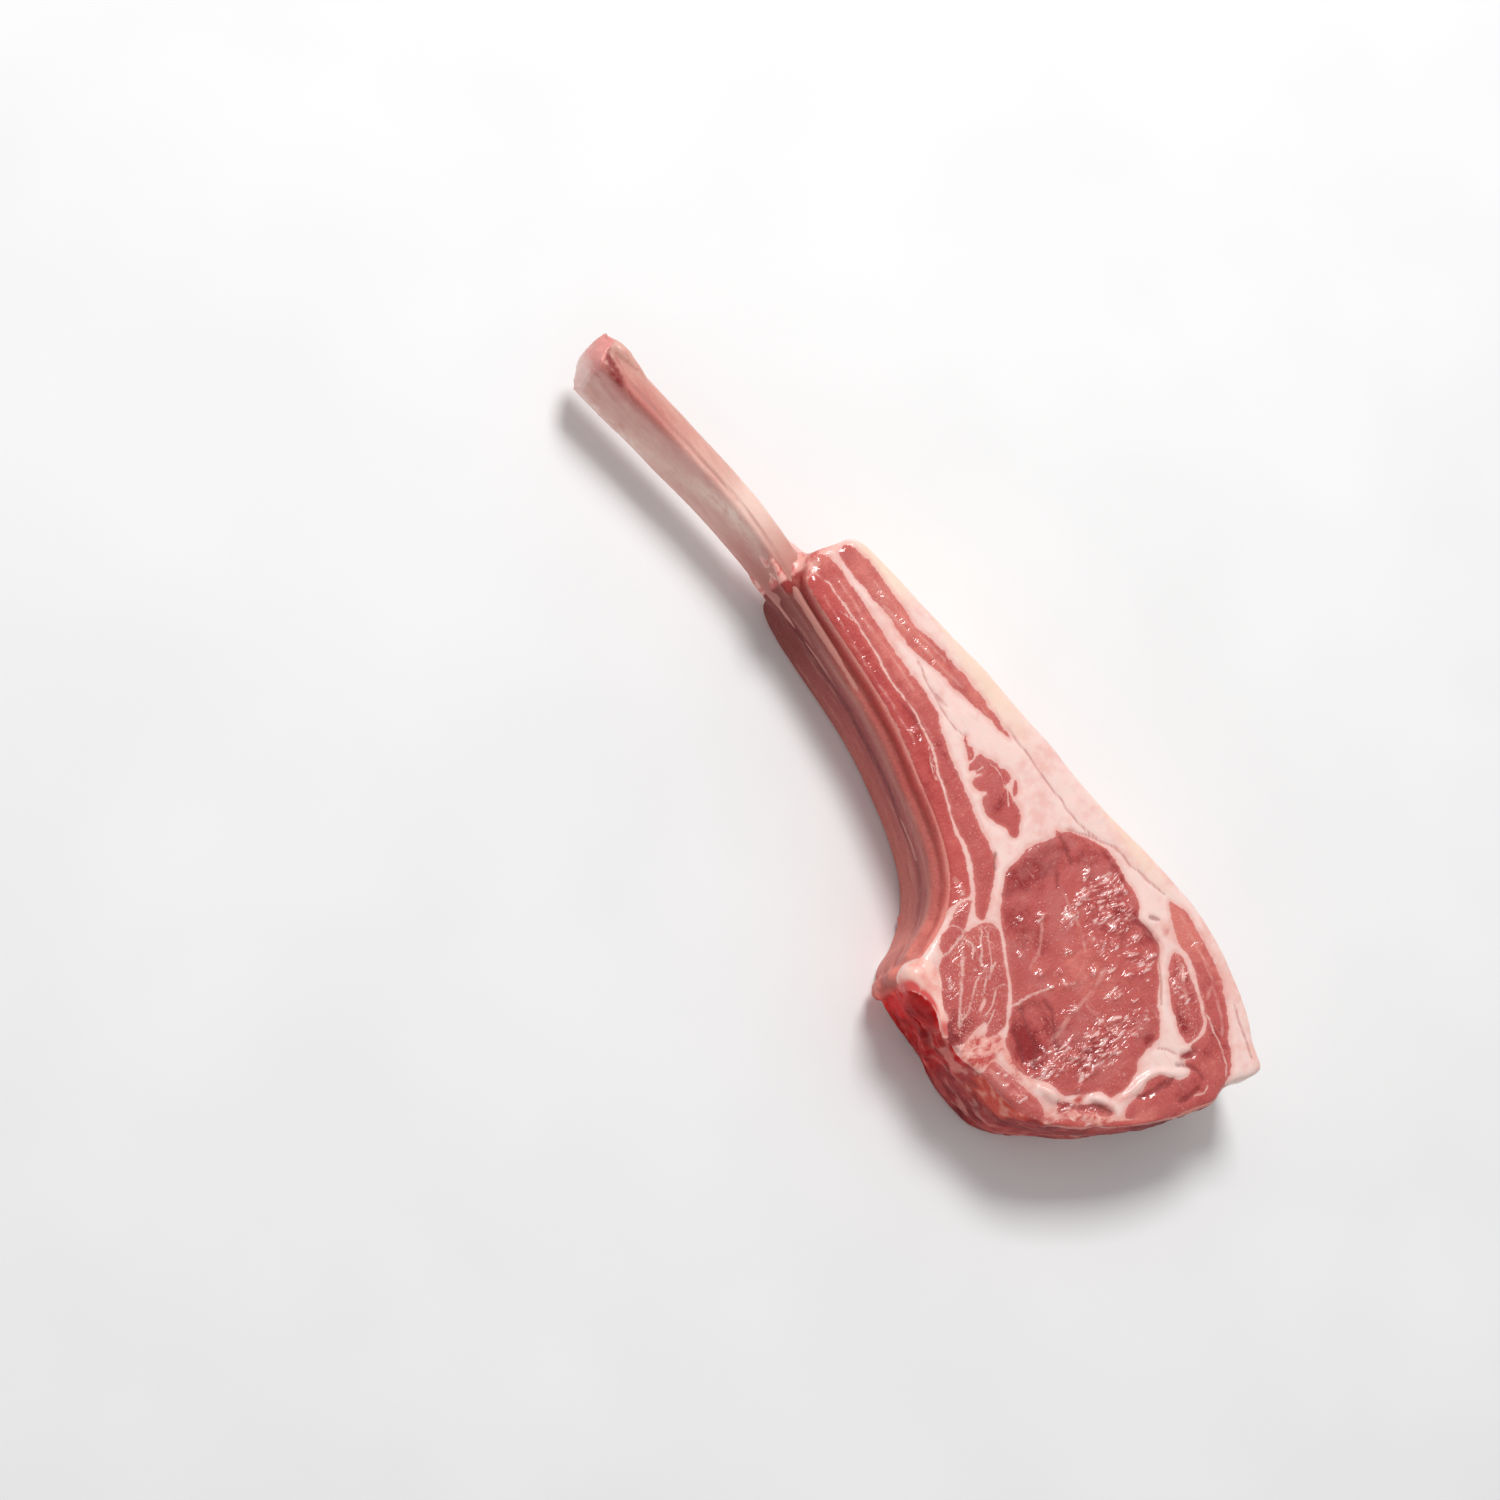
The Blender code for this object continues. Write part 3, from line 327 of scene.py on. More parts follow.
BRIGHT_SPOTS = [
    (2, -57.5, 6, 8, 0.75), (-5.5, -51.5, 4, 3, 0.4), (2.5, -47, 4, 3.4, 0.3), (11.2, 28.6, 2.6, 4.6, 1.2),
    (5.2, 33.6, 2.6, 2.4, 0.9), (23.6, -62, 3, 9, 1.6), (-23.6, -66, 2.4, 7, 0.6), (5.4, 12, 1.9, 19, 1),
    (12.4, 12, 1.6, 20, 0.95), (-3.5, -75.4, 6.5, 2.6, 0.5), (12, -86.5, 2.4, 2.4, 0.5),
    (24, -70, 1.4, 7, 1.2), (-12, -44, 2.6, 6, 0.5), (-17.4, -45, 5, 8, 0.5), (-10.6, -31.6, 3.2, 3, 0.6),
    (-16, -81, 7, 1.8, 1.4), (-7, -86.4, 5, 1.6, 1.4), (-24, -77, 5, 2, 0.6), (11, 20, 1.8, 16, 1.1),
    (15, -4, 1.4, 8, 0.9), (-18.4, -59.6, 1.6, 1.6, 0.7),
]
WET_SPOTS = [
    (13.5, -48, 6.5, 4.6, 1), (6.5, -47.2, 4, 1.8, 0.9), (14, -53, 5.5, 3.2, 0.8), (9, -55, 5, 2.4, 0.6),
    (-2.4, -57.2, 2.6, 1.2, 0.8), (-5.6, -61.6, 2.8, 1.2, 0.8), (6, -60.4, 3.2, 1.6, 0.8),
    (13.5, -58.5, 4, 1.8, 0.7), (12.5, -63, 4.4, 2.4, 0.9), (5, -64.6, 6, 2.8, 0.6),
    (-13, -67.8, 9, 3.4, 1), (-4, -69.8, 9, 3.4, 1), (-6, -73, 9, 2.8, 0.9), (3, -71, 6, 3.6, 0.8),
    (0.5, -44.2, 3.5, 1.2, 0.5), (-4, -42.6, 3, 1.2, 0.4), (-6.6, -52.8, 2.4, 1, 0.5), (17, -71, 3, 5, 0.8),
    (-13.5, -80, 3, 2, 1), (-11, -32, 3, 4, 0.6), (1, -2, 2, 5, 0.45), (-23.4, -66.4, 1.8, 6, 0.8),
    (-16, -44, 6, 8, 0.42), (-18, -76, 4, 2, 0.9), (-1, -66.6, 7, 1.6, 0.5), (-22.6, -45, 2.4, 3.4, 0.6),
    (12, 12, 2, 18, 0.35), (0.6, 14, 2, 14, 0.25), (24, -66, 1.6, 8, 0.4), (-16.8, -65.6, 3, 1.6, 0.9),
    (9, -54, 10, 13, 0.5), (-2, -60, 7, 9, 0.3),
]
CREAM_SPOTS = [
    (16, 28, 4.6, 12, 1), (19, 0, 3.6, 20, 0.8), (25, -42, 2.6, 16, 0.7),
]
# The sunken corner of the eye, and the cap of gristle over the backbone.
SUNKEN = [
    (-14.4, -55.2), (-11.8, -55.6), (-9.6, -56.4), (-9.4, -59), (-10.8, -63), (-12.4, -66.4), (-15.4, -68),
    (-18.6, -66.6), (-20, -63.4), (-19.8, -60.4), (-17.6, -57.8),
]
GRISTLE = [
    (-30.8, -37.6), (-27.6, -36.6), (-24.6, -37), (-22.9, -38.2), (-22.6, -40.6), (-23, -43), (-24.4, -45),
    (-25.5, -46.9), (-26.5, -49), (-27.7, -51.4), (-28.4, -52.6), (-29, -51.8), (-28.4, -50.2),
    (-27.7, -48.2), (-27.3, -46.2), (-27.5, -44.4), (-28.1, -42.6), (-29, -41.2), (-30.4, -40),
    (-31.4, -38.8),
]
# Where pink membrane is torn on the fat.
ROSY_SPOTS = [
    (-28.9, -41.2, 1.7, 2.4, 1.2), (-27.7, -44.8, 1.3, 3.2, 1.3), (-14.4, -76.2, 3, 1, 0.7),
    (-27.6, -51, 1.6, 2.6, 0.7), (-20.6, -75.4, 2, 1.6, 0.7), (-25, -58, 4.6, 3.6, 1.1),
    (-21, -58.6, 2, 3, 0.7), (-16.6, -77.6, 3.6, 2.4, 1), (-12.6, -81.6, 3.4, 3.4, 1),
    (-8, -85.4, 8, 2.2, 1), (0, -88.2, 6, 1.8, 0.9), (-20.6, -62.4, 1.6, 3.4, 0.7),
    (-19.6, -67.4, 1, 3, 0.5), (-6.4, -81, 3, 1.2, 0.4), (6, 36, 7, 1.8, 0.7), (1, 33.4, 3, 1.6, 0.8),
    (8.6, -88.4, 5, 2.2, 0.6), (-21.4, -66, 1.8, 5, 0.5), (-0.8, -30, 1.6, 3, 0.5),
    (20.6, -61, 1.6, 4, 0.4), (-13, -55.4, 2.4, 1.4, 0.4),
]

# ---------------------------------------------------------------- lumps and the colours of the sides
# Tubes of x, y, z, radius that swell out of the slab of meat.
MEAT_LUMPS = [
    # tissue round the foot of the bare rib
    [(-0.6, 33, 17.6, 2.2), (1.4, 36.4, 17.6, 2), (2.2, 38.8, 16.6, 1.2)],
    [(1.6, 33, 18.4, 2.2), (3.6, 35.6, 17.4, 2), (4.4, 36.6, 14, 1.6)],
    [(-2.6, 32.6, 18.6, 1), (-2, 36.8, 19, 0.8), (-1.4, 40.8, 18.9, 0.4)],
    # the gristle's knob over the backbone, and torn flesh beside it
    [(-26.4, -39.6, TOP - 2.6, 2.9), (-26.7, -41.6, TOP - 2.6, 2.8)],
    [(-27, -43.4, TOP - 1.9, 1.9), (-27.4, -47, TOP - 1.7, 1.5), (-28, -50.6, TOP - 1.6, 1.2)],
    [(-26.6, -38.6, 14, 2.2), (-27.6, -39.8, 9, 2.4), (-27, -39.6, 4.6, 2)],
    [(-28.4, -49, 15.6, 1.3), (-28.6, -52.4, 11.6, 1.6), (-28, -55.8, 8, 1.5)],
    [(-28.2, -55.6, 18.6, 1.5), (-27.6, -58.8, 16, 1.6), (-26.8, -62.6, 13, 1.4)],
    # the roll at the side
    [(-25.4, -61.6, TOP - 2.2, 1.9), (-24.7, -66, TOP - 2, 2.3), (-23.3, -71, TOP - 2, 2.2),
     (-21.2, -74.4, TOP - 2, 1.7)],
    # nuggets of fat
    [(-18.8, -70.2, TOP - 0.4, 0.9), (-18, -71.8, TOP - 0.2, 1.3), (-17.9, -73, TOP - 0.2, 1.2)],
    [(-10.9, -77.9, TOP - 0.2, 0.9), (-9.7, -79.4, TOP - 0.1, 1), (-9, -81.6, TOP - 0.3, 0.8)],
    [(-15.6, -78.7, TOP - 0.7, 0.8), (-13.4, -79.9, TOP - 0.6, 0.8), (-12.6, -81.2, TOP - 0.7, 0.8)],
    # the folded edge of fat under the eye
    [(-6.4, -81.3, TOP - 0.5, 0.7), (-3, -80.9, TOP - 0.3, 0.8), (0.6, -80.7, TOP - 0.2, 0.8),
     (3, -81.4, TOP - 0.2, 0.8), (5, -83.2, TOP - 0.3, 0.8), (7.2, -84.3, TOP - 0.5, 0.7)],
    # the pale rim of the foot
    [(-21.6, -75.6, TOP - 1.2, 1), (-16.8, -79.4, TOP - 1.1, 1), (-10.4, -83.9, TOP - 1.1, 1),
     (-4.2, -87.3, TOP - 1, 0.9), (1.6, -89.6, TOP - 1.2, 0.9)],
    # a scrap of membrane that hangs at the back edge
    [(-14.9, -30.8, 2.2, 0.5), (-16, -33, 2.7, 0.7), (-17.4, -35.2, 3.4, 0.8), (-19.4, -36.6, 4, 0.8)],
]
# Dried tissue left at the outer corner of the rib's sawn end: x, y, z, radius.
RIB_END_SCRAP = [
    (-2.6, 80.6, 18.2, 0.5), (-3.2, 84.4, 18.6, 1), (-4, 87.6, 18.6, 1.5), (-4.6, 90.4, 18.4, 1.2),
]
# Display colours of the sides: a height or a level of noise, then red, green and blue.
RIB_WALL_BANDS = [
    (22.4, 252, 176, 162), (21.7, 244, 150, 138), (21, 218, 100, 94), (20, 196, 78, 72), (19, 186, 86, 80),
    (18, 188, 106, 98), (16.8, 192, 120, 112), (14.6, 182, 106, 100), (12.6, 166, 84, 84),
    (8.5, 180, 94, 90), (4, 198, 110, 103), (0.6, 204, 114, 106),
]
TORN_BANDS = [(-0.5, 130, 34, 38), (-0.1, 164, 52, 54), (0.2, 190, 76, 72), (0.5, 212, 108, 100)]
SAWN_BANDS = [(-0.5, 130, 2, 6), (0, 184, 8, 14), (0.4, 214, 24, 28)]

# ---------------------------------------------------------------- the photograph's view
CAMERA_PLACE = (-310.9, 35.9, 713.8 + THICKNESS)
# To the right, up and back.
CAMERA_AXES = ((0.7628, -0.5619, 0.3200), (0.5322, 0.8266, 0.1830), (-0.3674, 0.0307, 0.9296))
LIT_PLACE = (0, -0.03, 0.01)      # what the light faces, in metres


# ---------------------------------------------------------------- small tools
def linear(red, green, blue):
    """A display colour of 0 to 255 as the linear colour that a shader takes."""
    def channel(value):
        value /= 255
        return value / 12.92 if value <= 0.04045 else ((value + 0.055) / 1.055) ** 2.4
    return (channel(red), channel(green), channel(blue), 1.0)


def smooth(points, spacing, closed=True):
    """Points about one spacing apart on the smooth curve through the given points."""
    given = np.array(points, float)
    count = len(given)
    made = []
    for index in range(count if closed else count - 1):
        picks = np.arange(index - 1, index + 3)
        picks = picks % count if closed else np.clip(picks, 0, count - 1)
        before, start, end, after = given[picks]
        steps = max(1, round(np.linalg.norm((end - start)[:2]) / spacing))
        for t in np.arange(steps) / steps:
            square = 2 * before - 5 * start + 4 * end - after
            cube = 3 * start - before - 3 * end + after
            made.append(0.5 * (2 * start + (end - before) * t + square * t * t + cube * t ** 3))
    if not closed:
        made.append(given[-1])
    return np.array(made)


def step(value, start, end):
    """A smooth step from 0 at start to 1 at end."""
    t = np.clip((value - start) / (end - start), 0.0, 1.0)
    return t * t * (3 - 2 * t)


def bell(value, width):
    """1 where the value is 0, falling off softly to either side within about a width."""
    return np.exp(-(value / width) ** 2)


def spots(x, y, table):
    """The strongest of some soft spots at each place."""
    best = np.zeros_like(x)
    for middle_x, middle_y, across, along, strength in table:
        far = ((x - middle_x) / across) ** 2 + ((y - middle_y) / along) ** 2
        best = np.maximum(best, strength * np.exp(-1.4 * far ** 1.3))
    return best


def value_noise(places, seed):
    """Smooth noise from -1 to 1 with one feature a unit."""
    cell = np.floor(places).astype(np.int64)
    t = places - cell
    t = t * t * t * (t * (6 * t - 15) + 10)
    total = np.zeros(len(places))
    for corner in range(8):
        offset = np.array([corner & 1, corner >> 1 & 1, corner >> 2 & 1])
        mixed = seed * HASH_SEED
        for at, factor in zip((cell + offset).T, HASH_AXES):
            mixed = mixed ^ at * factor
        mixed = mixed & HASH_BITS
        for shift, factor in HASH_ROUNDS:
            mixed = (mixed ^ mixed >> shift) * factor & HASH_BITS
        mixed = mixed ^ mixed >> 16
        weight = np.prod(np.where(offset, t, 1 - t), axis=1)
        total += weight * (mixed / 2.0 ** 31 - 1)
    return total


def rough_noise(places, scale, seed, octaves=3):
    """Layered noise from about -1 to 1; scale is features a millimetre, one number or one an axis."""
    total, strength, reach = 0.0, 1.0, 0.0
    for octave in range(octaves):
        total = total + strength * value_noise(places * np.array(scale) * 2 ** octave, seed + octave)
        reach += strength
        strength *= 0.5
    return total / reach


def off_edge(places, start, end):
    """The edge, each place from its start, and each place's squared distance from the edge."""
    edge, rel = end - start, places - start
    t = np.clip(rel @ edge / max(edge @ edge, 1e-12), 0, 1)
    return edge, rel, ((rel - t[:, None] * edge) ** 2).sum(1)


def outline_distance(places, *outlines):
    """Distance of x, y places from the nearest of some closed outlines, negative inside one."""
    distances = []
    for outline in outlines:
        loop = smooth(outline, LINE_SPACING)
        nearest = np.full(len(places), FAR)
        inside = np.zeros(len(places), bool)
        for start, end in zip(loop, np.roll(loop, -1, 0)):
            edge, rel, squared = off_edge(places, start, end)
            nearest = np.minimum(nearest, squared)
            if start[1] != end[1]:
                crosses = (start[1] > places[:, 1]) != (end[1] > places[:, 1])
                at = start[0] + rel[:, 1] / edge[1] * edge[0]
                inside ^= crosses & (places[:, 0] < at)
        distances.append(np.where(inside, -1, 1) * np.sqrt(nearest))
    return np.min(distances, axis=0)


def line_distance(places, table):
    """To the nearest of some lines, in half widths: the signed distance across, and the plain distance."""
    nearest, signed = np.full((2, len(places)), FAR)
    for half_width, points in table:
        line = smooth(points, LINE_SPACING, closed=False)
        for start, end in zip(line, line[1:]):
            edge, rel, squared = off_edge(places, start, end)
            far = np.sqrt(squared) / half_width
            side = (rel[:, 0] * edge[1] - rel[:, 1] * edge[0]) / np.linalg.norm(edge) / half_width
            closer = far < nearest
            nearest = np.where(closer, far, nearest)
            signed = np.where(closer, side, signed)
    return np.clip(signed, -6, 6), np.minimum(nearest, 9)


# ---------------------------------------------------------------- closed forms, before the remesh
def side_rings():
    """Height, and how far in from the outline, of each ring round the meat from back to front."""
    angles = [math.radians(degrees) for degrees in (0, 22, 45, 68, 90)]
    straight = THICKNESS - FRONT_EDGE - BACK_EDGE
    rings = [(BACK_EDGE * (1 - math.cos(angle)), BACK_EDGE * (1 - math.sin(angle))) for angle in angles]
    for share in np.arange(1, 12) / 12:
        rings.append((BACK_EDGE + straight * share, -SIDE_BULGE * math.sin(math.pi * share)))
    for angle in angles:
        rings.append((THICKNESS - FRONT_EDGE * (1 - math.sin(angle)), FRONT_EDGE * (1 - math.cos(angle))))
    return rings


def stacked(rings):
    """Vertices and faces of a closed form through rings of equally many points."""
    count = len(rings[0])
    verts = np.concatenate(rings)
    faces = [list(range(count))[::-1], list(range(len(verts) - count, len(verts)))]
    for low in range(0, len(verts) - count, count):
        high = low + count
        for index in range(count):
            after = (index + 1) % count
            faces.append([low + index, low + after, high + after, high + index])
    return verts, faces


def slab_form():
    """The whole piece of meat without its rib, flat on both faces."""
    loop = smooth(MEAT_OUTLINE, spacing=0.9)[::-1]
    along = np.roll(loop, -1, 0)[:, :2] - np.roll(loop, 1, 0)[:, :2]
    normals = np.stack([along[:, 1], -along[:, 0]], 1)
    normals /= np.linalg.norm(normals, axis=1)[:, None]
    rings = []
    for height, inset in side_rings():
        lean_back = loop[:, 2] * (1 - step(height, 0.0, THICKNESS))
        ring = loop[:, :2] + normals * (lean_back - inset)[:, None]
        rings.append(np.column_stack([ring, np.full(len(loop), height)]))
    return stacked(rings)


def tube_form(points):
    """A round-ended tube through points of x, y, z, radius."""
    line = smooth(points, spacing=0.6, closed=False)
    turn = np.linspace(0, 2 * math.pi, TUBE_SIDES, endpoint=False)
    tips = []
    for place, ahead in ((line[0], line[1]), (line[-1], line[-2])):
        middle, radius = place[:3], place[3]
        outward = middle - ahead[:3]
        outward /= np.linalg.norm(outward)
        tips.append([[*(middle + outward * radius * math.sin(angle)), radius * math.cos(angle)]
                     for angle in map(math.radians, (75, 50, 25))])
    whole = np.array(tips[0] + list(line) + tips[1][::-1])
    rings = []
    for place, direction in zip(whole, np.gradient(whole[:, :3], axis=0)):
        direction = direction / np.linalg.norm(direction)
        helper = np.array([0.0, 0.0, 1.0]) if abs(direction[2]) < 0.9 else np.array([1.0, 0.0, 0.0])
        across = np.cross(direction, helper)
        across /= np.linalg.norm(across)
        up = np.cross(across, direction)
        rings.append(place[:3] + place[3] * (np.outer(np.cos(turn), across) + np.outer(np.sin(turn), up)))
    return stacked(rings)


def rib_path():
    """Stations along the rib: middle, the unit directions across and up, and the scale."""
    line = smooth(RIB_LINE, spacing=0.7, closed=False)
    ahead = np.gradient(line[:, :2], axis=0)
    ahead /= np.linalg.norm(ahead, axis=1)[:, None]
    side = np.stack([ahead[:, 1], -ahead[:, 0], np.zeros(len(line))], 1)
    twist = np.radians(line[:, 2])[:, None]
    rise = np.array([0.0, 0.0, 1.0])
    across = side * np.cos(twist) - rise * np.sin(twist)
    up = side * np.sin(twist) + rise * np.cos(twist)
    middle = np.column_stack([line[:, :2], np.full(len(line), RIB_HEIGHT)])
    return middle, across, up, line[:, 3]


def rib_form(growth, first_y, last_y):
    """The rib swept along its line between two places along y; growth is a function of y."""
    middle, across, up, scale = rib_path()
    section = smooth(RIB_SECTION, spacing=0.06)
    keep = (middle[:, 1] >= first_y) & (middle[:, 1] <= last_y)
    rings = []
    for place, side, rise, size in zip(middle[keep], across[keep], up[keep], scale[keep]):
        more = growth(place[1])
        thin, wide = RIB_THIN / 2 * size + more, RIB_WIDE / 2 * size + more
        rings.append(place + np.outer(section[:, 0] * thin, side) + np.outer(section[:, 1] * wide, rise))
    return stacked(rings)


def rib_coordinates(places):
    """Each place's station along the rib, and its place across and up as shares of the half sizes."""
    middle, across, up, scale = rib_path()
    nearest = np.full(len(places), FAR)
    station = np.zeros(len(places), int)
    for index, place in enumerate(middle):
        far = ((places[:, :2] - place[:2]) ** 2).sum(1)
        closer = far < nearest
        nearest[closer] = far[closer]
        station[closer] = index
    rel = places - middle[station]
    size = scale[station]
    return (middle[station][:, 1], (rel * across[station]).sum(1) / (RIB_THIN / 2 * size),
            (rel * up[station]).sum(1) / (RIB_WIDE / 2 * size))


# ---------------------------------------------------------------- meshes
def put(name, data):
    """A new object in the scene."""
    item = bpy.data.objects.new(name, data)
    bpy.context.scene.collection.objects.link(item)
    return item


def skin(name, forms, voxel, smoothing):
    """One closed mesh round all the forms, in millimetres, smoothed."""
    verts, faces = [], []
    for form_verts, form_faces in forms:
        base = sum(len(part) for part in verts)
        verts.append(form_verts)
        faces += [[base + index for index in face] for face in form_faces]
    rough = bpy.data.meshes.new(name + "_rough")
    rough.from_pydata(np.concatenate(verts).tolist(), [], faces)
    holder = put(name + "_rough", rough)
    remesh = holder.modifiers.new("remesh", "REMESH")
    remesh.mode = "VOXEL"
    remesh.voxel_size = voxel
    remesh.adaptivity = 0.0
    relax = holder.modifiers.new("relax", "SMOOTH")
    relax.factor = 0.5
    relax.iterations = smoothing
    bpy.context.view_layer.update()
    mesh = bpy.data.meshes.new_from_object(holder.evaluated_get(bpy.context.evaluated_depsgraph_get()))
    bpy.data.objects.remove(holder)
    bpy.data.meshes.remove(rough)
    mesh.name = name
    return mesh


def values_of(items, name, width, kind):
    """One value, or a row of them, of each of a mesh's items."""
    values = np.zeros(len(items) * width, kind)
    items.foreach_get(name, values)
    return values.reshape(-1, width) if width > 1 else values


def surface_of(mesh):
    """The places and the normals of the mesh's vertices."""
    normals = values_of(mesh.vertex_normals, "vector", 3, np.float32)
    return values_of(mesh.vertices, "co", 3, float), normals.astype(float)


def set_field(mesh, name, *columns):
    """Stores three values a vertex under one name."""
    layer = mesh.attributes.new(name, "FLOAT_VECTOR", "POINT")
    layer.data.foreach_set("vector", np.column_stack(columns).astype(np.float32).ravel())


def relaxed(mesh, places, share, rounds):
    """Places drawn towards the mean of their neighbours, by a share at each place."""
    ends = values_of(mesh.edges, "vertices", 2, np.int32)
    first, second = ends.T
    count = np.bincount(ends.ravel(), minlength=len(places))[:, None]
    for _ in range(rounds):
        total = np.zeros_like(places)
        np.add.at(total, first, places[second])
        np.add.at(total, second, places[first])
        places = places + 0.5 * share[:, None] * (total / count - places)
    return places


def place_piece(mesh, places, material, body="root"):
    """Moves the vertices to their places in the part's frame and makes the shown piece."""
    mesh.vertices.foreach_set("co", ((places + SHIFT) * MM).astype(np.float32).ravel())
    mesh.update()
    mesh.shade_smooth()
    mesh.materials.clear()
    mesh.materials.append(material)
    piece = put(mesh.name, mesh)
    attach(piece, body)
    return piece


# ---------------------------------------------------------------- the meat
def face_swell(x, y):
    """How far the front face stands above its mean height: higher on the eye, lower on the tail."""
    eye = np.exp(-((x - 1.0) / 19.0) ** 2 - ((y + 56.0) / 23.0) ** 2)
    return EYE_SWELL * eye - TAIL_THINNING * step(y, -10.0, 36.0)


def meat_forms():
    """The closed forms that the meat's skin goes round."""
    def cover(y):
        """How much thicker than the rib the tissue over it is; it runs out on the bare rib."""
        return 0.3 - 0.7 * float(step(y, 32.0, 47.0))

    collar = [(x, y, RIB_HEIGHT + 0.6, radius) for x, y, radius in COLLAR_LINE]
    tubes = [tube_form(line) for line in [collar] + MEAT_LUMPS]
    return [slab_form(), rib_form(cover, first_y=-40.0, last_y=47.0)] + tubes


def banded(value, bands):
    """The linear colour at each value between a table's bands of value, red, green, blue."""
    bands = sorted(bands)
    stops = [band[0] for band in bands]
    colours = np.array([linear(*band[1:])[:3] for band in bands])
    return np.column_stack([np.interp(value, stops, colours[:, channel]) for channel in range(3)])


def layered(base, layers):
    """Linear colours with others laid over them in turn, each by a share at each place."""
    for share, colour in layers:
        over = np.array(linear(*colour)[:3])
        base = base + (over - base) * np.clip(share, 0, 1)[:, None]
    return base


def side_colours(places, inner, sawn, roll):
    """The linear colours of the sides that no cut face shows, from how far each place is on each side."""
    x, y, z = places.T
    noise = partial(rough_noise, places)
    low, mid, fine = noise(0.12, 301), noise(0.4, 305), noise(1.1, 309, 2)
    shreds = noise((0.30, 0.46, 0.40), 321, 4)
    slant = np.column_stack([(y + 0.55 * z) * 0.14, (z - 0.55 * y) * 0.42, x * 0.1])
    streaks = rough_noise(slant, 1.0, 313)
    bands = rough_noise(np.column_stack([x * 0.3, y * 0.12, z * 0.9]), 1.0, 317)

    # The wall over the rib: bands of height, a groove darkened with painted shade, and long pale and dark
    # streaks.
    low_part = step(-z, -12.5, -9.0)
    rib_wall = layered(banded(z + 0.6 * low + 0.3 * bands, RIB_WALL_BANDS), [
        # Painted shade in the groove under the rib.
        (0.62 * bell(z - 11.4 - 1.2 * low - 0.3 * mid, 0.8), (112, 46, 54)),
        (step(y, -4, 24) * (0.2 + 0.36 * low_part), (112, 40, 40)),
        (0.35 * step(y, 14, 28), (96, 14, 14)),
        (0.5 * step(-y, 8, 26) * (0.5 + 0.5 * low_part), (216, 128, 118)),
        (step(bands, 0.15, 0.6) * 0.3, (226, 160, 146)),
        (step(-bands, 0.15, 0.6) * 0.3, (150, 66, 64)),
        (step(-y, 30, 36) * (0.4 + step(streaks + mid, -0.1, 0.5)) * 0.6, (232, 138, 126))])

    # Torn flesh and membrane below the eye and round the foot, redder beside the sawn bone.
    beside = step(z + 1.6 * mid, 13, 18) * step(-y, 48, 52) * step(y, -64.5, -60)
    torn = layered(banded(low + 0.5 * mid, TORN_BANDS), [
        (step(streaks + 0.5 * mid, 0.2, 0.6) * 0.5, (226, 160, 150)),
        (step(-streaks + 0.4 * mid, 0.2, 0.6) * step(-z, -16, -12) * 0.5, (104, 22, 28)),
        (beside * 0.75, (192, 66, 66)),
        (beside * step(shreds, 0.04, 0.3) * 0.5, (246, 168, 156)),
        (step(-shreds, 0.08, 0.3) * step(-y, 48, 52) * step(y, -62, -58) * 0.6, (120, 20, 30)),
        (step(z + 1.4 * mid, 19.4, 21.4) * step(x, -24, -19) * 0.8, (238, 158, 144))])
    orange = layered(np.array(linear(222, 82, 66)[:3]), [
        (step(-low - 0.6 * mid, 0, 0.5), (172, 56, 54)),
        (step(streaks + 0.6 * mid + 0.3 * fine, 0.12, 0.6) * 0.7, (250, 168, 150))])
    torn += (orange - torn) * (roll * 0.9)[:, None]

    # The sawn backbone: wet dark red, brighter under the rib's head, with pale tatters.
    tatters = step(0.5 * streaks + 0.8 * mid + 0.3 * fine, 0.05, 0.6) * step(-y, 44.5, 50)
    under_head = step(-y, 36.6, 38.4) * step(y, -41.6, -39.2) * step(-z, -15, -12)
    bone = layered(banded(low + 0.6 * mid, SAWN_BANDS), [
        (step(y, -46, -41.5) * (0.65 + mid), (244, 48, 46)),
        (step(y, -48, -45) * step(z, 13, 16.5) * 0.4, (150, 4, 10)),
        (tatters * 0.6, (216, 136, 130)),
        (step(-y, 48, 53) * step(z + 2 * mid, 13, 17) * step(shreds, -0.1, 0.2) * 0.6, (226, 140, 132)),
        (under_head * (0.85 + 0.5 * mid), (255, 148, 134))])

    share = np.clip(sawn + 0.25 * mid * (sawn > 0.02) * (sawn < 0.98), 0, 1)[:, None]
    colours = torn * (1 - share) + bone * share
    return colours * (1 - inner[:, None]) + rib_wall * inner[:, None]


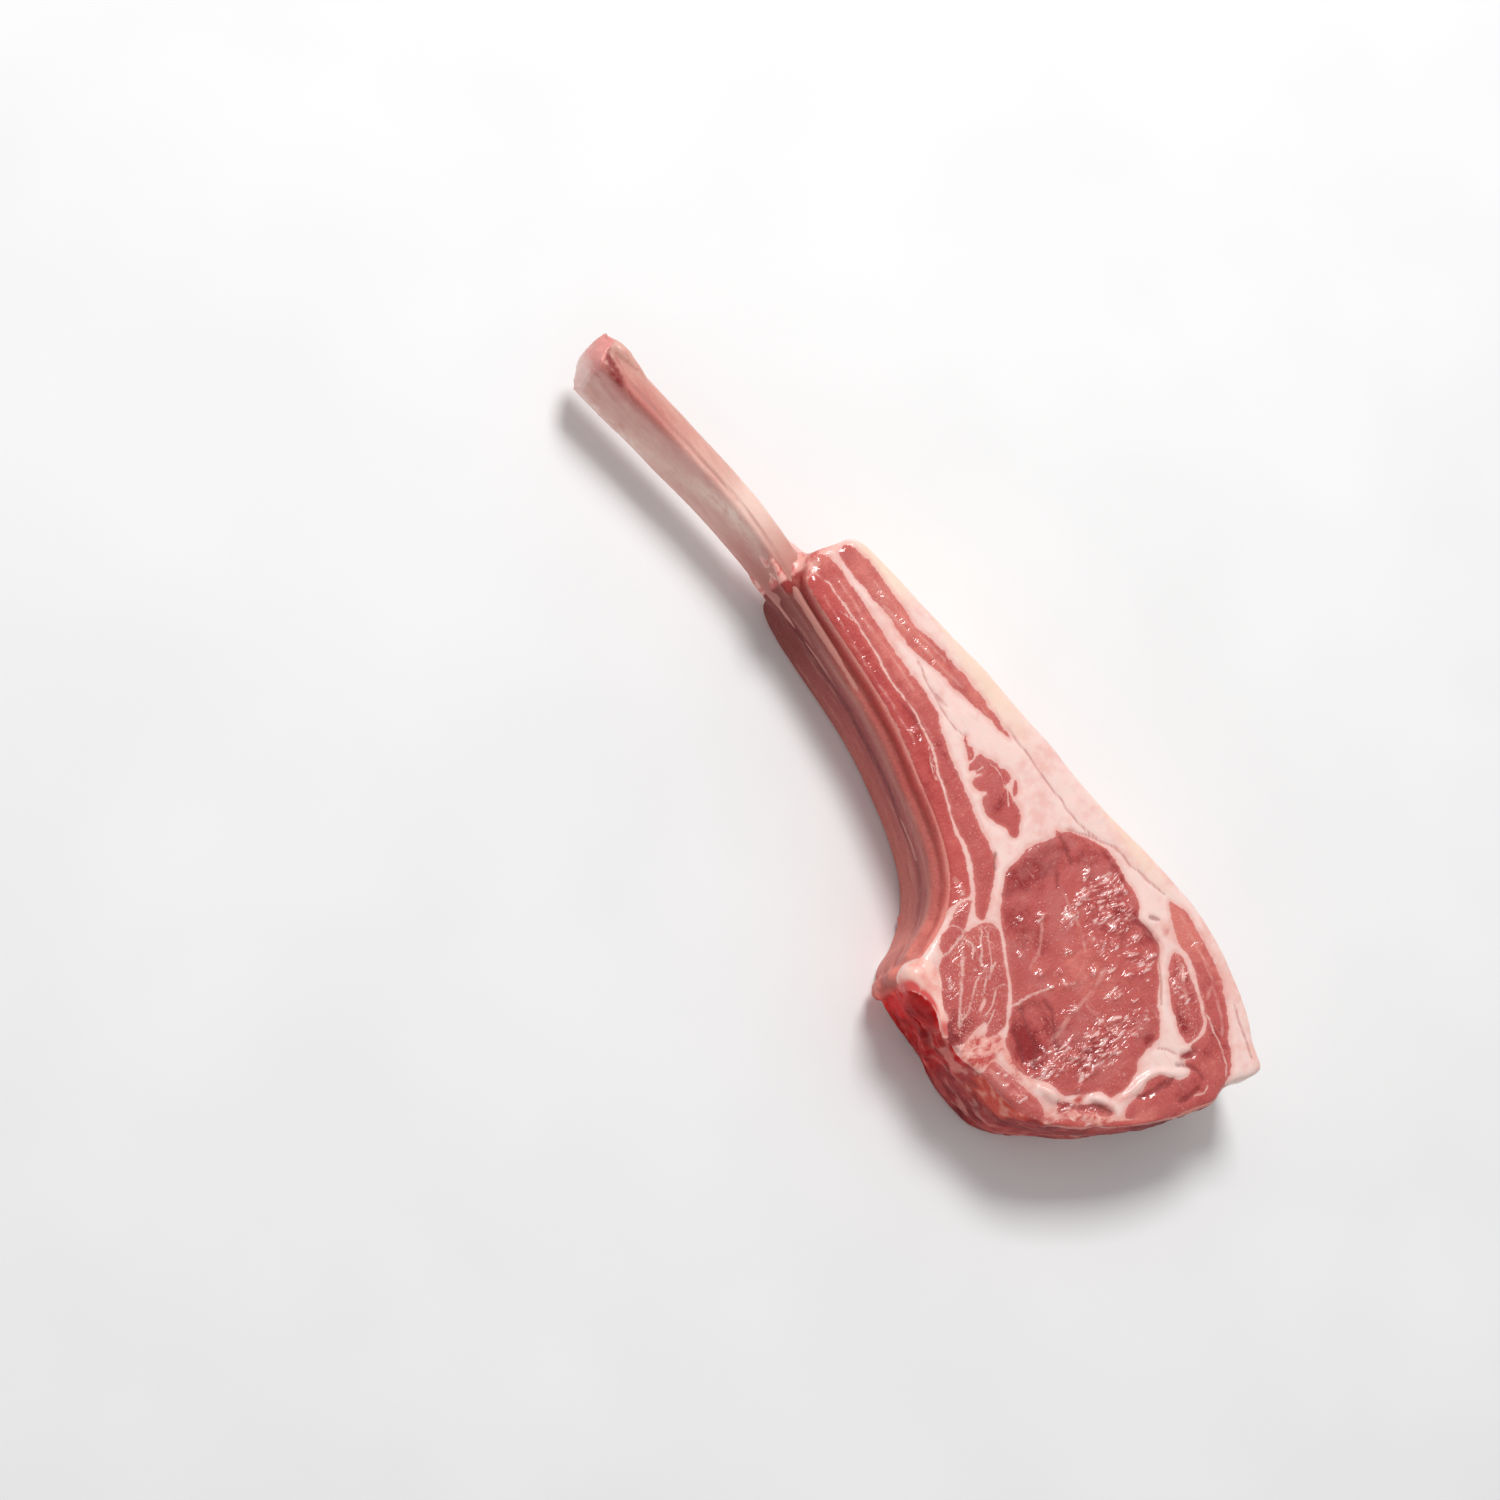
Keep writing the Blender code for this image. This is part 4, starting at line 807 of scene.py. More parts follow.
def side_shares(places, at):
    """Adds how far each place belongs to each side that has colours of its own, from 0 to 1."""
    x, y, z = places.T
    tilt = np.abs(at.upright)
    at.edge = np.maximum(step(-tilt, -0.85, -0.6), step(-z, -21.4, -20.4)) * step(z, 0.4, 1.2)
    at.knob = step(-at.gristle, -0.3, 0.5) * step(z, 16.8, 18.4)
    at.inner = step(-x + 0.12 * y, -6, 0) * step(y, -40.5, -38.5) * step(x, -31, -28.6)
    at.inner *= 1 - step(y, 33, 36)
    at.sawn = step(-x, 22, 25) * step(-y, 36.8, 39) * step(y, -61, -54)
    under_head = step(-x, 23, 25.6) * step(-z, -13, -10) * step(-y, 36, 37.6) * step(y, -44, -40)
    at.sawn = np.maximum(at.sawn, under_head)
    at.foot = step(-y, 53, 56) * (1 - step(x, 9, 13)) * np.maximum(step(-x, 17, 21), step(-y, 72, 76))
    at.roll = step(-at.groups[0], -0.4, 0.4) * step(-x, 19, 21) * step(-y, 59, 61) * step(z, 13, 18)
    at.cap = (1 - step(tilt, 0.4, 0.8)) * step(x, 12, 18) * (1 - at.foot)

    # Where the front face drops off beyond the gristle, onto the sawn bone.
    beyond = step(-26.0 + 0.415 * (y + 45.5) - x, 0, 1) * step(-y, 40.2, 41.8) * step(y, -54.5, -51.5)
    at.hollow = beyond * step(at.gristle, 0.1, 1.8) * step(z, 16, 18) * step(y, -53, -46)
    at.sunk = beyond * step(at.gristle, -0.2, 0.4) * step(z, 16, 18)
    at.side = np.clip(at.inner + at.sawn + at.foot, 0, 1) * at.edge * (1 - at.knob)
    at.side = np.maximum(at.side, at.sunk)


def meat_fields(places, normals):
    """What relief and colours go by at each place: distances in millimetres, and shares from 0 to 1."""
    x, y, z = places.T
    noise = partial(rough_noise, places)
    at = SimpleNamespace(upright=normals[:, 2])
    at.front = step(at.upright, 0.5, 0.9) * step(z, 17, 19)

    # Deeper layers wander a little from the outlines of the front face, and all edges are ragged.
    depth = (THICKNESS - z) / THICKNESS
    wander = np.stack([noise(0.09, 11), noise(0.09, 23)], 1)
    at.ragged = np.stack([noise(0.45, 5, 2), noise(0.45, 7, 2)], 1)
    flat = places[:, :2] + wander * (2.6 * depth)[:, None] + at.ragged * 0.3

    at.groups = [outline_distance(flat, *group) for group in LEAN]
    at.patches = outline_distance(flat, *PALE_PATCHES)
    at.line_side, at.line = line_distance(flat, PALE_LINES)
    at.faint, at.crease, at.fold = (line_distance(flat, table)[1] for table in (FAINT_LINES, CREASES, FOLDS))
    at.outside_lean = np.maximum(np.min(at.groups, axis=0), -at.patches)
    at.lean = step(-at.outside_lean, -0.1, 0.5)
    at.sunken = step(-outline_distance(flat, SUNKEN), -0.3, 1.2)
    at.gristle = outline_distance(places[:, :2], GRISTLE)
    at.rib_base = step(rib_coordinates(places)[0], 31, 34) * step(-x, -5.4, -3.4)
    at.wet = spots(x, y, WET_SPOTS)
    at.welts = np.zeros_like(x)
    for middle_x, middle_y, length, degrees in WELTS:
        turn = math.radians(degrees)
        off_x, off_y = x - middle_x + 0.3 * at.ragged[:, 0], y - middle_y + 0.5 * at.ragged[:, 1]
        ahead = off_x * math.cos(turn) + off_y * math.sin(turn)
        aside = off_y * math.cos(turn) - off_x * math.sin(turn)
        width = 0.46 + 0.06 * length
        at.welts = np.maximum(at.welts, np.exp(-(aside / width) ** 2 - (ahead / (0.5 * length)) ** 4))
    side_shares(places, at)
    return at


def meat_relief(places, at):
    """The meat's relief, in millimetres along the normal."""
    x, y, z = places.T
    noise = partial(rough_noise, places)
    bend = noise(0.12, 31, 2)
    stretched = np.column_stack([x * 0.4 + bend, y * 0.95 + 1.3 * bend + 0.14 * x, z * 0.3])
    folds = value_noise(stretched, 41) + 0.5 * value_noise(stretched * np.array([2.1, 2.0, 1.0]) + 9.0, 43)

    # The cut face: seams between the muscles, waves, wet welts, swells, creases and the sunken corner.
    lift = at.front * (0.24 * (1 - np.exp(-np.abs(at.outside_lean) / 0.9)) - 0.11)
    lift += at.front * at.lean * (0.05 + 0.13 * at.wet * step(noise(0.3, 45, 2), -0.2, 0.3)) * folds
    lift += at.front * 0.46 * at.welts * (0.75 + 0.6 * folds)
    lift += (1 - at.lean) * noise(0.16, 61) * 0.2
    lift += at.lean * at.front * noise(0.2, 71) * 0.22
    lift -= at.front * 0.3 * bell(at.crease, 1.3)
    lift -= at.front * 0.22 * bell(at.fold, 1.3) * (1 - at.lean)
    lift += at.front * 0.04 * bell(at.line, 1.6) * step(-at.outside_lean, 0, 0.6)
    lift -= at.front * 0.5 * at.sunken

    # The sides: torn foot, sawn bone, gristle, rib wall, the foot of the bare rib and the fat cap.
    torn, fibres = noise((0.16, 0.16, 0.28), 81, 4), noise((0.3, 0.3, 0.09), 91)
    lift += at.foot * at.edge * (0.75 * torn + 0.3 * fibres) * step(z, 0.6, 3)
    lift += at.sawn * at.edge * 0.6 * noise(0.42, 101, 4) * step(z, 0.6, 2)
    lift += at.knob * (0.2 * noise(0.2, 105, 2) + 0.3 * step(-at.gristle, 0, 2))
    lift += at.inner * at.edge * 0.1 * noise((0.3, 0.06, 0.4), 111)
    lift -= at.inner * at.edge * 0.2 * bell(z - 11.6 - 0.6 * bend, 1.1)
    lift += at.rib_base * 0.4 * noise(0.35, 121, 4)
    lift += at.cap * 0.42 * (noise((0.12, 0.05, 0.16), 131) - 0.1)
    lift += at.cap * 0.14 * noise((0.3, 0.14, 0.5), 135)
    return lift * (1 - step(-at.upright, 0.6, 0.95))


def make_meat(cut_material, side_material):
    """The meat: every layer of lean and fat, the gristle and the sawn backbone in one skin."""
    mesh = skin("meat", meat_forms(), MEAT_VOXEL, smoothing=4)
    places, normals = surface_of(mesh)
    x, y, z = places.T
    at = meat_fields(places, normals)
    lifted = places + normals * meat_relief(places, at)[:, None]
    lifted[:, 2] += face_swell(lifted[:, 0], lifted[:, 1]) * np.clip(z / THICKNESS, 0, 1)
    lifted[:, 2] -= at.hollow * HOLLOW_DEPTH
    lifted[:, 2] = np.maximum(lifted[:, 2], 0.0)

    dark = spots(x, y, DARK_SPOTS) - spots(x, y, BRIGHT_SPOTS)
    cream = spots(x, y, CREAM_SPOTS) - spots(x, y, ROSY_SPOTS)
    sawn = np.maximum(at.sawn * (1 - at.inner), at.sunk)
    tints = side_colours(places, at.inner, sawn, at.roll)
    set_field(mesh, "lean_a", *at.groups[:3])
    set_field(mesh, "lean_b", at.groups[3], at.patches, at.welts)
    set_field(mesh, "lines", at.line_side, at.line, at.faint)
    set_field(mesh, "grooves", at.crease, at.fold, at.rib_base)
    set_field(mesh, "tones", dark, cream, np.maximum(at.wet, 0.8 * at.welts))
    set_field(mesh, "parts", at.side, at.knob, at.front)
    set_field(mesh, "tints", *tints.T)
    piece = place_piece(mesh, lifted, cut_material)

    # Faces whose first corner is on a side take the material without the film of water.
    mesh.materials.append(side_material)
    first = values_of(mesh.polygons, "loop_start", 1, np.int32)
    corners = values_of(mesh.loops, "vertex_index", 1, np.int32)
    mesh.polygons.foreach_set("material_index", (at.side > 0.5)[corners[first]].astype(np.int32))
    return piece


# ---------------------------------------------------------------- the rib
def make_rib(material):
    """The rib, its bare length scraped and its end sawn off."""
    forms = [rib_form(lambda y: 0.0, first_y=-38.0, last_y=99.0), tube_form(RIB_END_SCRAP)]
    mesh = skin("rib", forms, RIB_VOXEL, smoothing=3)
    places, normals = surface_of(mesh)
    along, across, high = rib_coordinates(places)

    lift = 0.10 * rough_noise(places, (0.35, 0.06, 0.35), 201)
    lift += 0.12 * rough_noise(places, 0.12, 205, 2)
    scraps = step(along, 76, 84) * (step(across, 0, 0.6) + step(-high, 0.5, 0.9))
    lift += 0.22 * np.clip(scraps, 0, 1) * rough_noise(places, 0.5, 211)
    places = places + normals * lift[:, None]

    # The saw: what reaches past its plane is pressed back onto it, slightly rounded and rough.
    slant = Matrix.Rotation(math.radians(RIB_END_SLANT), 3, "Z")
    tilt = Matrix.Rotation(math.radians(RIB_END_TILT), 3, "X")
    outward = np.array(slant @ tilt @ Vector((0, 1, 0)))
    past = (places - np.array([*RIB_END, RIB_HEIGHT])) @ outward
    tip = np.array(RIB_END_DIRECTION)
    tip /= np.linalg.norm(tip)
    away = np.clip(np.maximum(np.abs(across), np.abs(high)), 0, 1.1)
    limit = 0.14 * rough_noise(places, 0.8, 221) + 1.0 - 2.2 * away ** 3
    places = places - np.outer(np.maximum(past - limit, 0.0) / (tip @ outward), tip)
    places = relaxed(mesh, places, step(past, -4, -1.5), rounds=14)
    places += normals * (step(past, -2.5, -0.5) * 0.3 * rough_noise(places, 0.9, 231))[:, None]

    end = step(past + 0.5 * rough_noise(places, 0.6, 225), -2, -0.3)
    pores = np.clip(1 - (across ** 2 + high ** 2) / 0.42, 0, 1)
    ridge = np.exp(-((across + 0.93) / 0.16) ** 2 - ((high - 0.83) / 0.1) ** 2)
    set_field(mesh, "place", along, across, high)
    set_field(mesh, "parts", end, pores, ridge)
    return place_piece(mesh, places, material)


# ---------------------------------------------------------------- materials
class Output:
    """A node's output, so that sums of them can be written as sums."""

    def __init__(self, nodes, socket):
        self.nodes, self.socket = nodes, socket

    def __add__(self, other):
        return self.nodes.math("ADD", self, other)

    def __radd__(self, other):
        return self.nodes.math("ADD", other, self)

    def __sub__(self, other):
        return self.nodes.math("SUBTRACT", self, other)

    def __rsub__(self, other):
        return self.nodes.math("SUBTRACT", other, self)

    def __mul__(self, other):
        return self.nodes.math("MULTIPLY", self, other)

    def __abs__(self):
        return self.nodes.math("ABSOLUTE", self)


class Nodes:
    """Short names for building one material's nodes."""

    def __init__(self, name):
        self.material = bpy.data.materials.new(name)
        self.material.use_nodes = True
        self.tree = self.material.node_tree
        self.shader = self.tree.nodes["Principled BSDF"]
        coordinates = Output(self, self.add("ShaderNodeTexCoord").outputs["Object"])
        self.mm = self.vector("MULTIPLY", coordinates, (1 / MM,) * 3)

    def add(self, kind, **settings):
        """A new node with some of its settings."""
        node = self.tree.nodes.new(kind)
        for name, value in settings.items():
            setattr(node, name, value)
        return node

    def fed(self, node, result, values):
        """One of a node's outputs, after its inputs are fed; all go by number or name."""
        for key, value in values.items():
            self.feed(node.inputs[key], value)
        return Output(self, node.outputs[result])

    def feed(self, socket, value):
        """Links a socket to an output, or sets it to a constant."""
        if isinstance(value, Output):
            self.tree.links.new(value.socket, socket)
        elif value is not None:
            socket.default_value = value

    def math(self, operation, a, b=None):
        return self.fed(self.add("ShaderNodeMath", operation=operation), 0, {0: a, 1: b})

    def vector(self, operation, a, b):
        return self.fed(self.add("ShaderNodeVectorMath", operation=operation), 0, {0: a, 1: b})

    def scaled(self, vector, share):
        return self.fed(self.add("ShaderNodeVectorMath", operation="SCALE"), 0, {0: vector, "Scale": share})

    def vector_field(self, name):
        return Output(self, self.add("ShaderNodeAttribute", attribute_name=name).outputs["Vector"])

    def field(self, name):
        """The three values that the mesh stores under one name."""
        parts = self.add("ShaderNodeSeparateXYZ")
        self.feed(parts.inputs[0], self.vector_field(name))
        return [Output(self, part) for part in parts.outputs]

    def noise(self, scale, offset, detail=2.0, roughness=0.5, places=None):
        """Noise about 0, unlike others by its offset; scale is features a millimetre, one or one an axis."""
        scales = scale if isinstance(scale, tuple) else (scale,) * 3
        moved = self.vector("ADD", self.vector("MULTIPLY", places or self.mm, scales), (offset,) * 3)
        values = {"Vector": moved, "Scale": 1.0, "Detail": detail, "Roughness": roughness}
        return self.fed(self.add("ShaderNodeTexNoise"), "Fac", values) - 0.5

    def ramp(self, value, start, end, low=0.0, high=1.0):
        """A smooth step from low at start to high at end."""
        node = self.add("ShaderNodeMapRange", interpolation_type="SMOOTHSTEP")
        return self.fed(node, "Result", dict(enumerate((value, start, end, low, high))))

    def mix(self, share, under, over):
        return self.fed(self.add("ShaderNodeMix", data_type="RGBA"), 2, {0: share, 6: under, 7: over})

    def layers(self, base, *layers):
        """A colour with others laid over it in turn, each by a share; a plain one is a display colour."""
        for share, colour in layers:
            both = [linear(*part) if isinstance(part, tuple) else part for part in (base, colour)]
            base = self.mix(share, *both)
        return base

    def bump(self, height, distance, strength=1.0):
        """A bump of a height in millimetres."""
        values = {"Strength": strength, "Distance": distance * MM, "Height": height}
        return self.fed(self.add("ShaderNodeBump"), "Normal", values)

    def finish(self, colour, roughness, normal, **constants):
        """The finished material; the constants are the shader's other sockets."""
        values = {"Base Color": colour, "Roughness": roughness, "Normal": normal}
        values.update((label.replace("_", " "), value) for label, value in constants.items())
        for label, value in values.items():
            self.feed(self.shader.inputs[label], value)
        return self.material


def meat_material(name, wetness):
    """Wet lean, fat and gristle, told apart by the mesh's fields, and the colours of the sides."""
    n = Nodes(name)
    a, b, c = n.field("lean_a")
    d, patch, welt = n.field("lean_b")
    side, far, faint = n.field("lines")
    crease, fold, rib_base = n.field("grooves")
    tone, cream, wet = n.field("tones")
    sided, knob, front = n.field("parts")

    # Where the lean is, and the pale lines through it.
    ragged = n.noise(0.9, 0, 3) * 0.7 + n.noise(3.2, 0) * 0.3
    nearest = n.math("MINIMUM", n.math("MINIMUM", a, b), n.math("MINIMUM", c, d))
    edge = nearest + ragged
    lean = n.ramp(edge, 0.16, -0.16) * n.ramp(patch + ragged, -0.16, 0.16)
    wobble = side + n.noise(0.7, 4, 3) * 2.4 + n.noise(2.4, 14) * 2.0
    line = n.ramp(abs(wobble), 1.7, 0.0) * n.ramp(far, 3.4, 1.7)
    line *= n.ramp(n.noise(0.4, 8, 3), -0.16, 0.08, 0.2, 0.8)
    soft_line = n.ramp(faint + n.noise(1.2, 9, 3), 1.7, 0.2)
    soft_line *= n.ramp(n.noise(0.3, 10, 3), -0.12, 0.08, 0.1, 0.5)

    # Small waves of torn fibre and water on the lean, with pale frosty streaks and painted glints on their
    # crests and on the welts, and a painted sheen round them.
    swing = n.fed(n.add("ShaderNodeCombineXYZ"), 0, {1: n.noise(0.14, 36, 1) * 4.0})
    waved = n.vector("ADD", n.mm, swing)
    wave = n.noise((0.46, 1.5, 0.6), 35, 1, 0.45, places=waved)
    rough_wave = wave + n.noise((1.4, 2.6, 1.6), 38, 3, 0.6) * 0.3
    broken = n.noise((0.3, 0.4, 0.4), 39, 2, 0.6) + n.ramp(wet, 0.05, 0.8, -0.26, 0.12)
    crest_glints_painted = n.ramp(rough_wave, 0.07, 0.15) * n.ramp(broken, -0.04, 0.08)
    split = n.noise((0.6, 2.4, 1.0), 40, 3, 0.66, places=waved) * 2.6
    welt_glints_painted = n.ramp(welt + split, 0.72, 1.1)
    painted_sheen_haze = n.ramp(rough_wave, -0.12, 0.1) * n.ramp(broken, -0.04, 0.12, 0.0, 0.3)
    painted_glints_with_frost = n.math("MAXIMUM", crest_glints_painted * 0.9, welt_glints_painted)

    # Lean.
    deepness = tone * 0.42 + n.noise(0.10, 0, 3, 0.6) * 0.8 + n.noise((0.34, 0.5, 0.4), 5, 4, 0.6) * 0.8
    deepness = deepness + n.noise(2.0, 7, 3, 0.6) * 0.3
    # Painted shade in the troughs between the wave's crests where the face is wet.
    deepness = deepness + n.ramp(wave, 0.06, -0.12) * n.ramp(wet, 0.05, 0.8, 0.03, 0.15)
    marbling = n.ramp(n.noise((0.30, 0.42, 0.3), 2, 5, 0.66), 0.10, 0.26, 0.0, 0.4)
    # Pale flecks of moisture with painted sparkle among them, thicker in patches.
    flecks_with_painted_sparkle = n.ramp(n.noise(2.3, 25, 2, 0.6), 0.10, 0.2)
    flecks_with_painted_sparkle = flecks_with_painted_sparkle * n.ramp(n.noise(0.16, 26, 3, 0.6), -0.1, 0.14, 0.12, 0.6)
    # Pale grains with painted sparkle among them, on the second group of lean, mostly the piece beside the
    # backbone.
    grains_with_painted_sparkle = n.ramp(n.noise((3.8, 2.4, 3.0), 41, 2, 0.6), 0.04, 0.16)
    grains_with_painted_sparkle = grains_with_painted_sparkle * n.ramp(n.noise(0.34, 42, 2, 0.6), -0.08, 0.14, 0.15, 0.8) * n.ramp(b, 0.2, -0.5)
    threads = n.ramp(n.noise((1.3, 0.12, 0.6), 27, 3, 0.6), 0.12, 0.24, 0.0, 0.42) * n.ramp(b, 0.6, 1.6)
    # A soft pinkish-grey painted sheen in patches over the first group of lean, the eye among it.
    painted_sheen_veil = n.ramp(n.noise(0.16, 37, 3, 0.6), 0.0, 0.2, 0.0, 0.34) * n.ramp(a, 0.3, -0.6)
    flesh = n.layers(
        (197, 86, 81),
        (n.ramp(deepness, 0.0, 0.55), (150, 18, 24)),
        (n.ramp(deepness, 0.0, -0.55), (222, 122, 110)),
        (marbling, (226, 140, 130)),
        (flecks_with_painted_sparkle, (240, 176, 166)),
        (grains_with_painted_sparkle, (250, 192, 182)),
        (threads, (232, 158, 148)),
        (n.ramp(edge, -0.9, -0.1, 0.0, 0.35), (226, 132, 124)),
        (painted_sheen_veil, (206, 128, 124)),
        (n.ramp(d, 0.3, -0.5, 0.0, 0.45), (204, 72, 66)),
        # Painted sheen round the wave crests where the face is wet.
        (painted_sheen_haze, (232, 160, 154)),
        # Pale frost with painted glints on the crests and the welts.
        (painted_glints_with_frost * 0.8, (250, 206, 200)))

    # Fat, with veins, flushes and specks of blood on its outer face, and torn where it is rosy.
    rosy = n.ramp(n.noise(0.10, 1, 3, 0.6) + n.noise(0.6, 6, 3) * 0.5, -0.1, 0.24)
    wisps = n.ramp(n.noise((0.9, 0.07, 0.3), 12, 3, 0.55), 0.12, 0.3, 0.0, 0.35)
    outside = 1.0 - front
    vein = n.ramp(abs(n.noise((0.16, 0.05, 0.22), 43, 3, 0.6)), 0.03, 0.0, 0.0, 0.2)
    flush = n.ramp(n.noise((0.1, 0.06, 0.14), 44, 4, 0.6), 0.02, 0.24, 0.0, 0.5)
    blood = n.ramp(n.noise(0.3, 45, 1), 0.24, 0.28, 0.0, 0.5)
    torn = n.noise((0.32, 0.5, 0.4), 32, 4, 0.66)
    shreds = n.layers(
        (236, 164, 152), (n.ramp(torn, -0.04, 0.12), (200, 84, 78)),
        (n.ramp(torn, -0.04, -0.2), (248, 204, 194)))
    suet = n.layers(
        (247, 214, 206),
        (rosy * 0.85, (238, 184, 174)),
        (n.ramp(cream, 0.0, 1.0, 0.0, 0.85), (250, 218, 196)),
        (n.ramp(edge, 1.2, 0.05, 0.0, 0.45), (230, 154, 144)),
        (wisps, (236, 182, 166)),
        # Painted shade along the folds.
        (n.ramp(fold, 1.6, 0.2, 0.0, 0.6), (194, 118, 109)),
        (vein * outside, (226, 150, 130)),
        (flush * outside, (240, 168, 148)),
        (blood * outside, (206, 96, 84)),
        (n.ramp(cream, -0.1, -0.7), shreds))

    # Gristle, the tissue at the foot of the bare rib, the sides, and then everything over the fat.
    gristle = n.layers(
        (253, 206, 193), (n.ramp(n.noise(0.3, 9, 3), -0.12, 0.2), (244, 162, 151)),
        (n.ramp(cream, -0.1, -0.8), (226, 92, 88)))
    tissue = n.layers((236, 170, 158), (n.ramp(n.noise(0.3, 19, 3, 0.6), -0.05, 0.12), (206, 78, 72)))
    tints = n.scaled(n.vector_field("tints"), 1.0 + n.noise(1.6, 15, 4, 0.65) * 0.5)
    colour = n.layers(
        suet,
        (lean, flesh),
        (soft_line, (236, 168, 158)),
        (line, (243, 196, 186)),
        # Painted shade along the creases.
        (n.ramp(crease + n.noise(0.6, 30, 3) * 2.4, 2.0, 0.2, 0.0, 0.55), (138, 40, 42)),
        (n.ramp(knob + ragged * 0.5, 0.35, 0.65), gristle),
        (rib_base * 0.9, tissue),
        (n.ramp(sided + ragged * 0.4, 0.3, 0.7), tints))

    normal = n.bump(n.noise(1.9, 21, 4, 0.62) * (0.2 + lean), 0.2)
    roughness = n.ramp(n.noise(0.5, 24, 3), -0.25, 0.25, 0.34, 0.5)
    if not wetness:
        return n.finish(
            colour, roughness, normal, Subsurface_Weight=0.2, Subsurface_Radius=(1.0, 0.3, 0.2),
            Subsurface_Scale=0.8 * MM, Specular_IOR_Level=0.25, IOR=1.36)
    # A thin film of water, whose own ripples catch the light.
    film = wave * (lean * n.ramp(wet, 0.05, 0.9, 0.2, 3.4)) + n.noise(0.5, 33, 1) * 0.4
    return n.finish(
        colour, roughness, normal, Subsurface_Weight=0.2, Subsurface_Radius=(1.0, 0.32, 0.22),
        Subsurface_Scale=0.8 * MM, Specular_IOR_Level=0.3, IOR=1.42, Coat_Roughness=0.08,
        Coat_Normal=n.bump(film, 0.2), Coat_Weight=n.ramp(lean, 0.0, 1.0, 0.3 * wetness, wetness))


def bone_material():
    """Scraped moist bone with traces of tissue."""
    n = Nodes("scraped_bone")
    along, across, high = n.field("place")
    end, pores, ridge = n.field("parts")
    streak = n.ramp(n.noise((0.5, 0.06, 0.5), 0, 4, 0.6), -0.2, 0.24)
    soft = n.noise(0.10, 3, 3, 0.6)
    mottle = n.noise((0.5, 0.3, 0.5), 4, 4, 0.62)

    # The paler band of the inner face, a painted highlight, drifts from its back edge near the end to the
    # ridge lower down.
    drift = high + n.ramp(along, 46.0, 82.0, -0.5, 0.95) + soft * 1.4
    clear = n.ramp(abs(drift), 0.6, 0.05) * n.ramp(abs(along - 64.0), 2.0, 12.0, 0.4, 1.0)
    near_ridge = n.ramp(high + mottle * 1.2, -0.2, 0.8) * n.ramp(along, 56.0, 82.0, 0.0, 0.85)
    inner_face = n.ramp(across, -0.25, -0.8) * n.ramp(high, 1.0, 0.72)
    pale = n.layers(
        (236, 188, 176), (streak, (222, 168, 157)),
        (clear * n.ramp(mottle, 0.2, -0.1, 0.35, 1.0), (252, 222, 210)),
        (near_ridge, (206, 128, 121)))
    beige = n.layers(
        (224, 172, 158), (streak, (206, 146, 133)),
        (n.ramp(along, 62.0, 46.0, 0.0, 0.9), (255, 226, 212)))

    # Red and brown traces of tissue along the edges, the grey line beside the ridge, and a cleft of dark red
    # tissue deepened with painted shade.
    back_edge = n.ramp(high, -0.7, -0.98) * n.ramp(along, 72.0, 86.0, 0.1, 0.7)
    red_edge = n.ramp(along, 62.0, 74.0) * n.ramp(along, 90.0, 82.0)
    red_edge = red_edge * n.ramp(across + mottle * 1.2, 0.3, -0.6) * n.ramp(high, 0.4, 0.84)
    grey = n.ramp(abs(across + 0.55), 0.24, 0.02) * n.ramp(high, 0.5, 0.8)
    grey = grey * n.ramp(n.noise((0.6, 0.09, 0.6), 5, 3), -0.1, 0.1, 0.2, 0.7)
    scraps = n.ramp(ridge * 0.16 + n.noise((0.4, 0.2, 0.4), 7, 4, 0.6), 0.06, 0.2)
    bent = along * 0.09 + n.noise(0.9, 16, 3) * 0.5
    cleft = n.ramp(abs(across + 8.3 - bent), 0.42, 0.06) * n.ramp(high, 0.6, 0.8)
    cleft = cleft * (n.ramp(along, 80.0, 83.0) * n.ramp(along, 92.0, 89.0))

    # The sawn end, with the marrow's colour in its middle.
    marrow = n.ramp(pores + n.noise(0.7, 9, 4, 0.6), 0.3, 0.8)
    sawn = n.layers(
        (248, 206, 200), (marrow * 0.25, (226, 156, 148)),
        (n.ramp(high + n.noise(0.4, 10, 4, 0.6), -0.1, 0.6, 0.0, 0.85), (226, 138, 130)))
    colour = n.layers(
        beige,
        (inner_face, pale),
        (n.ramp(soft + mottle * 0.8, 0.0, 0.3, 0.0, 0.45), (222, 146, 138)),
        (back_edge, (228, 140, 134)),
        (red_edge * 0.62, (196, 104, 95)),
        # Darker and browner towards the base: membrane over the bone, and painted shade.
        (n.ramp(along, 54.0, 35.0, 0.0, 0.8), (184, 98, 86)),
        (grey, (176, 122, 112)),
        (n.ramp(along, 72.0, 84.0) * scraps * 0.6, (184, 78, 74)),
        # The cleft: dark red tissue with painted shade.
        (cleft * 0.9, (138, 30, 30)),
        (n.ramp(end, 0.2, 0.9), sawn))
    normal = n.bump(n.noise((1.6, 0.2, 1.6), 11, 4, 0.6) + n.noise(1.6, 12, 4) * 0.6, 0.16, 0.7)
    roughness = n.ramp(n.noise(0.4, 13, 3), -0.2, 0.2, 0.34, 0.5)
    return n.finish(
        colour, roughness, normal, Subsurface_Weight=0.2, Subsurface_Radius=(1.0, 0.5, 0.35),
        Subsurface_Scale=0.9 * MM, Coat_Weight=0.2, Coat_Roughness=0.2, IOR=1.42)


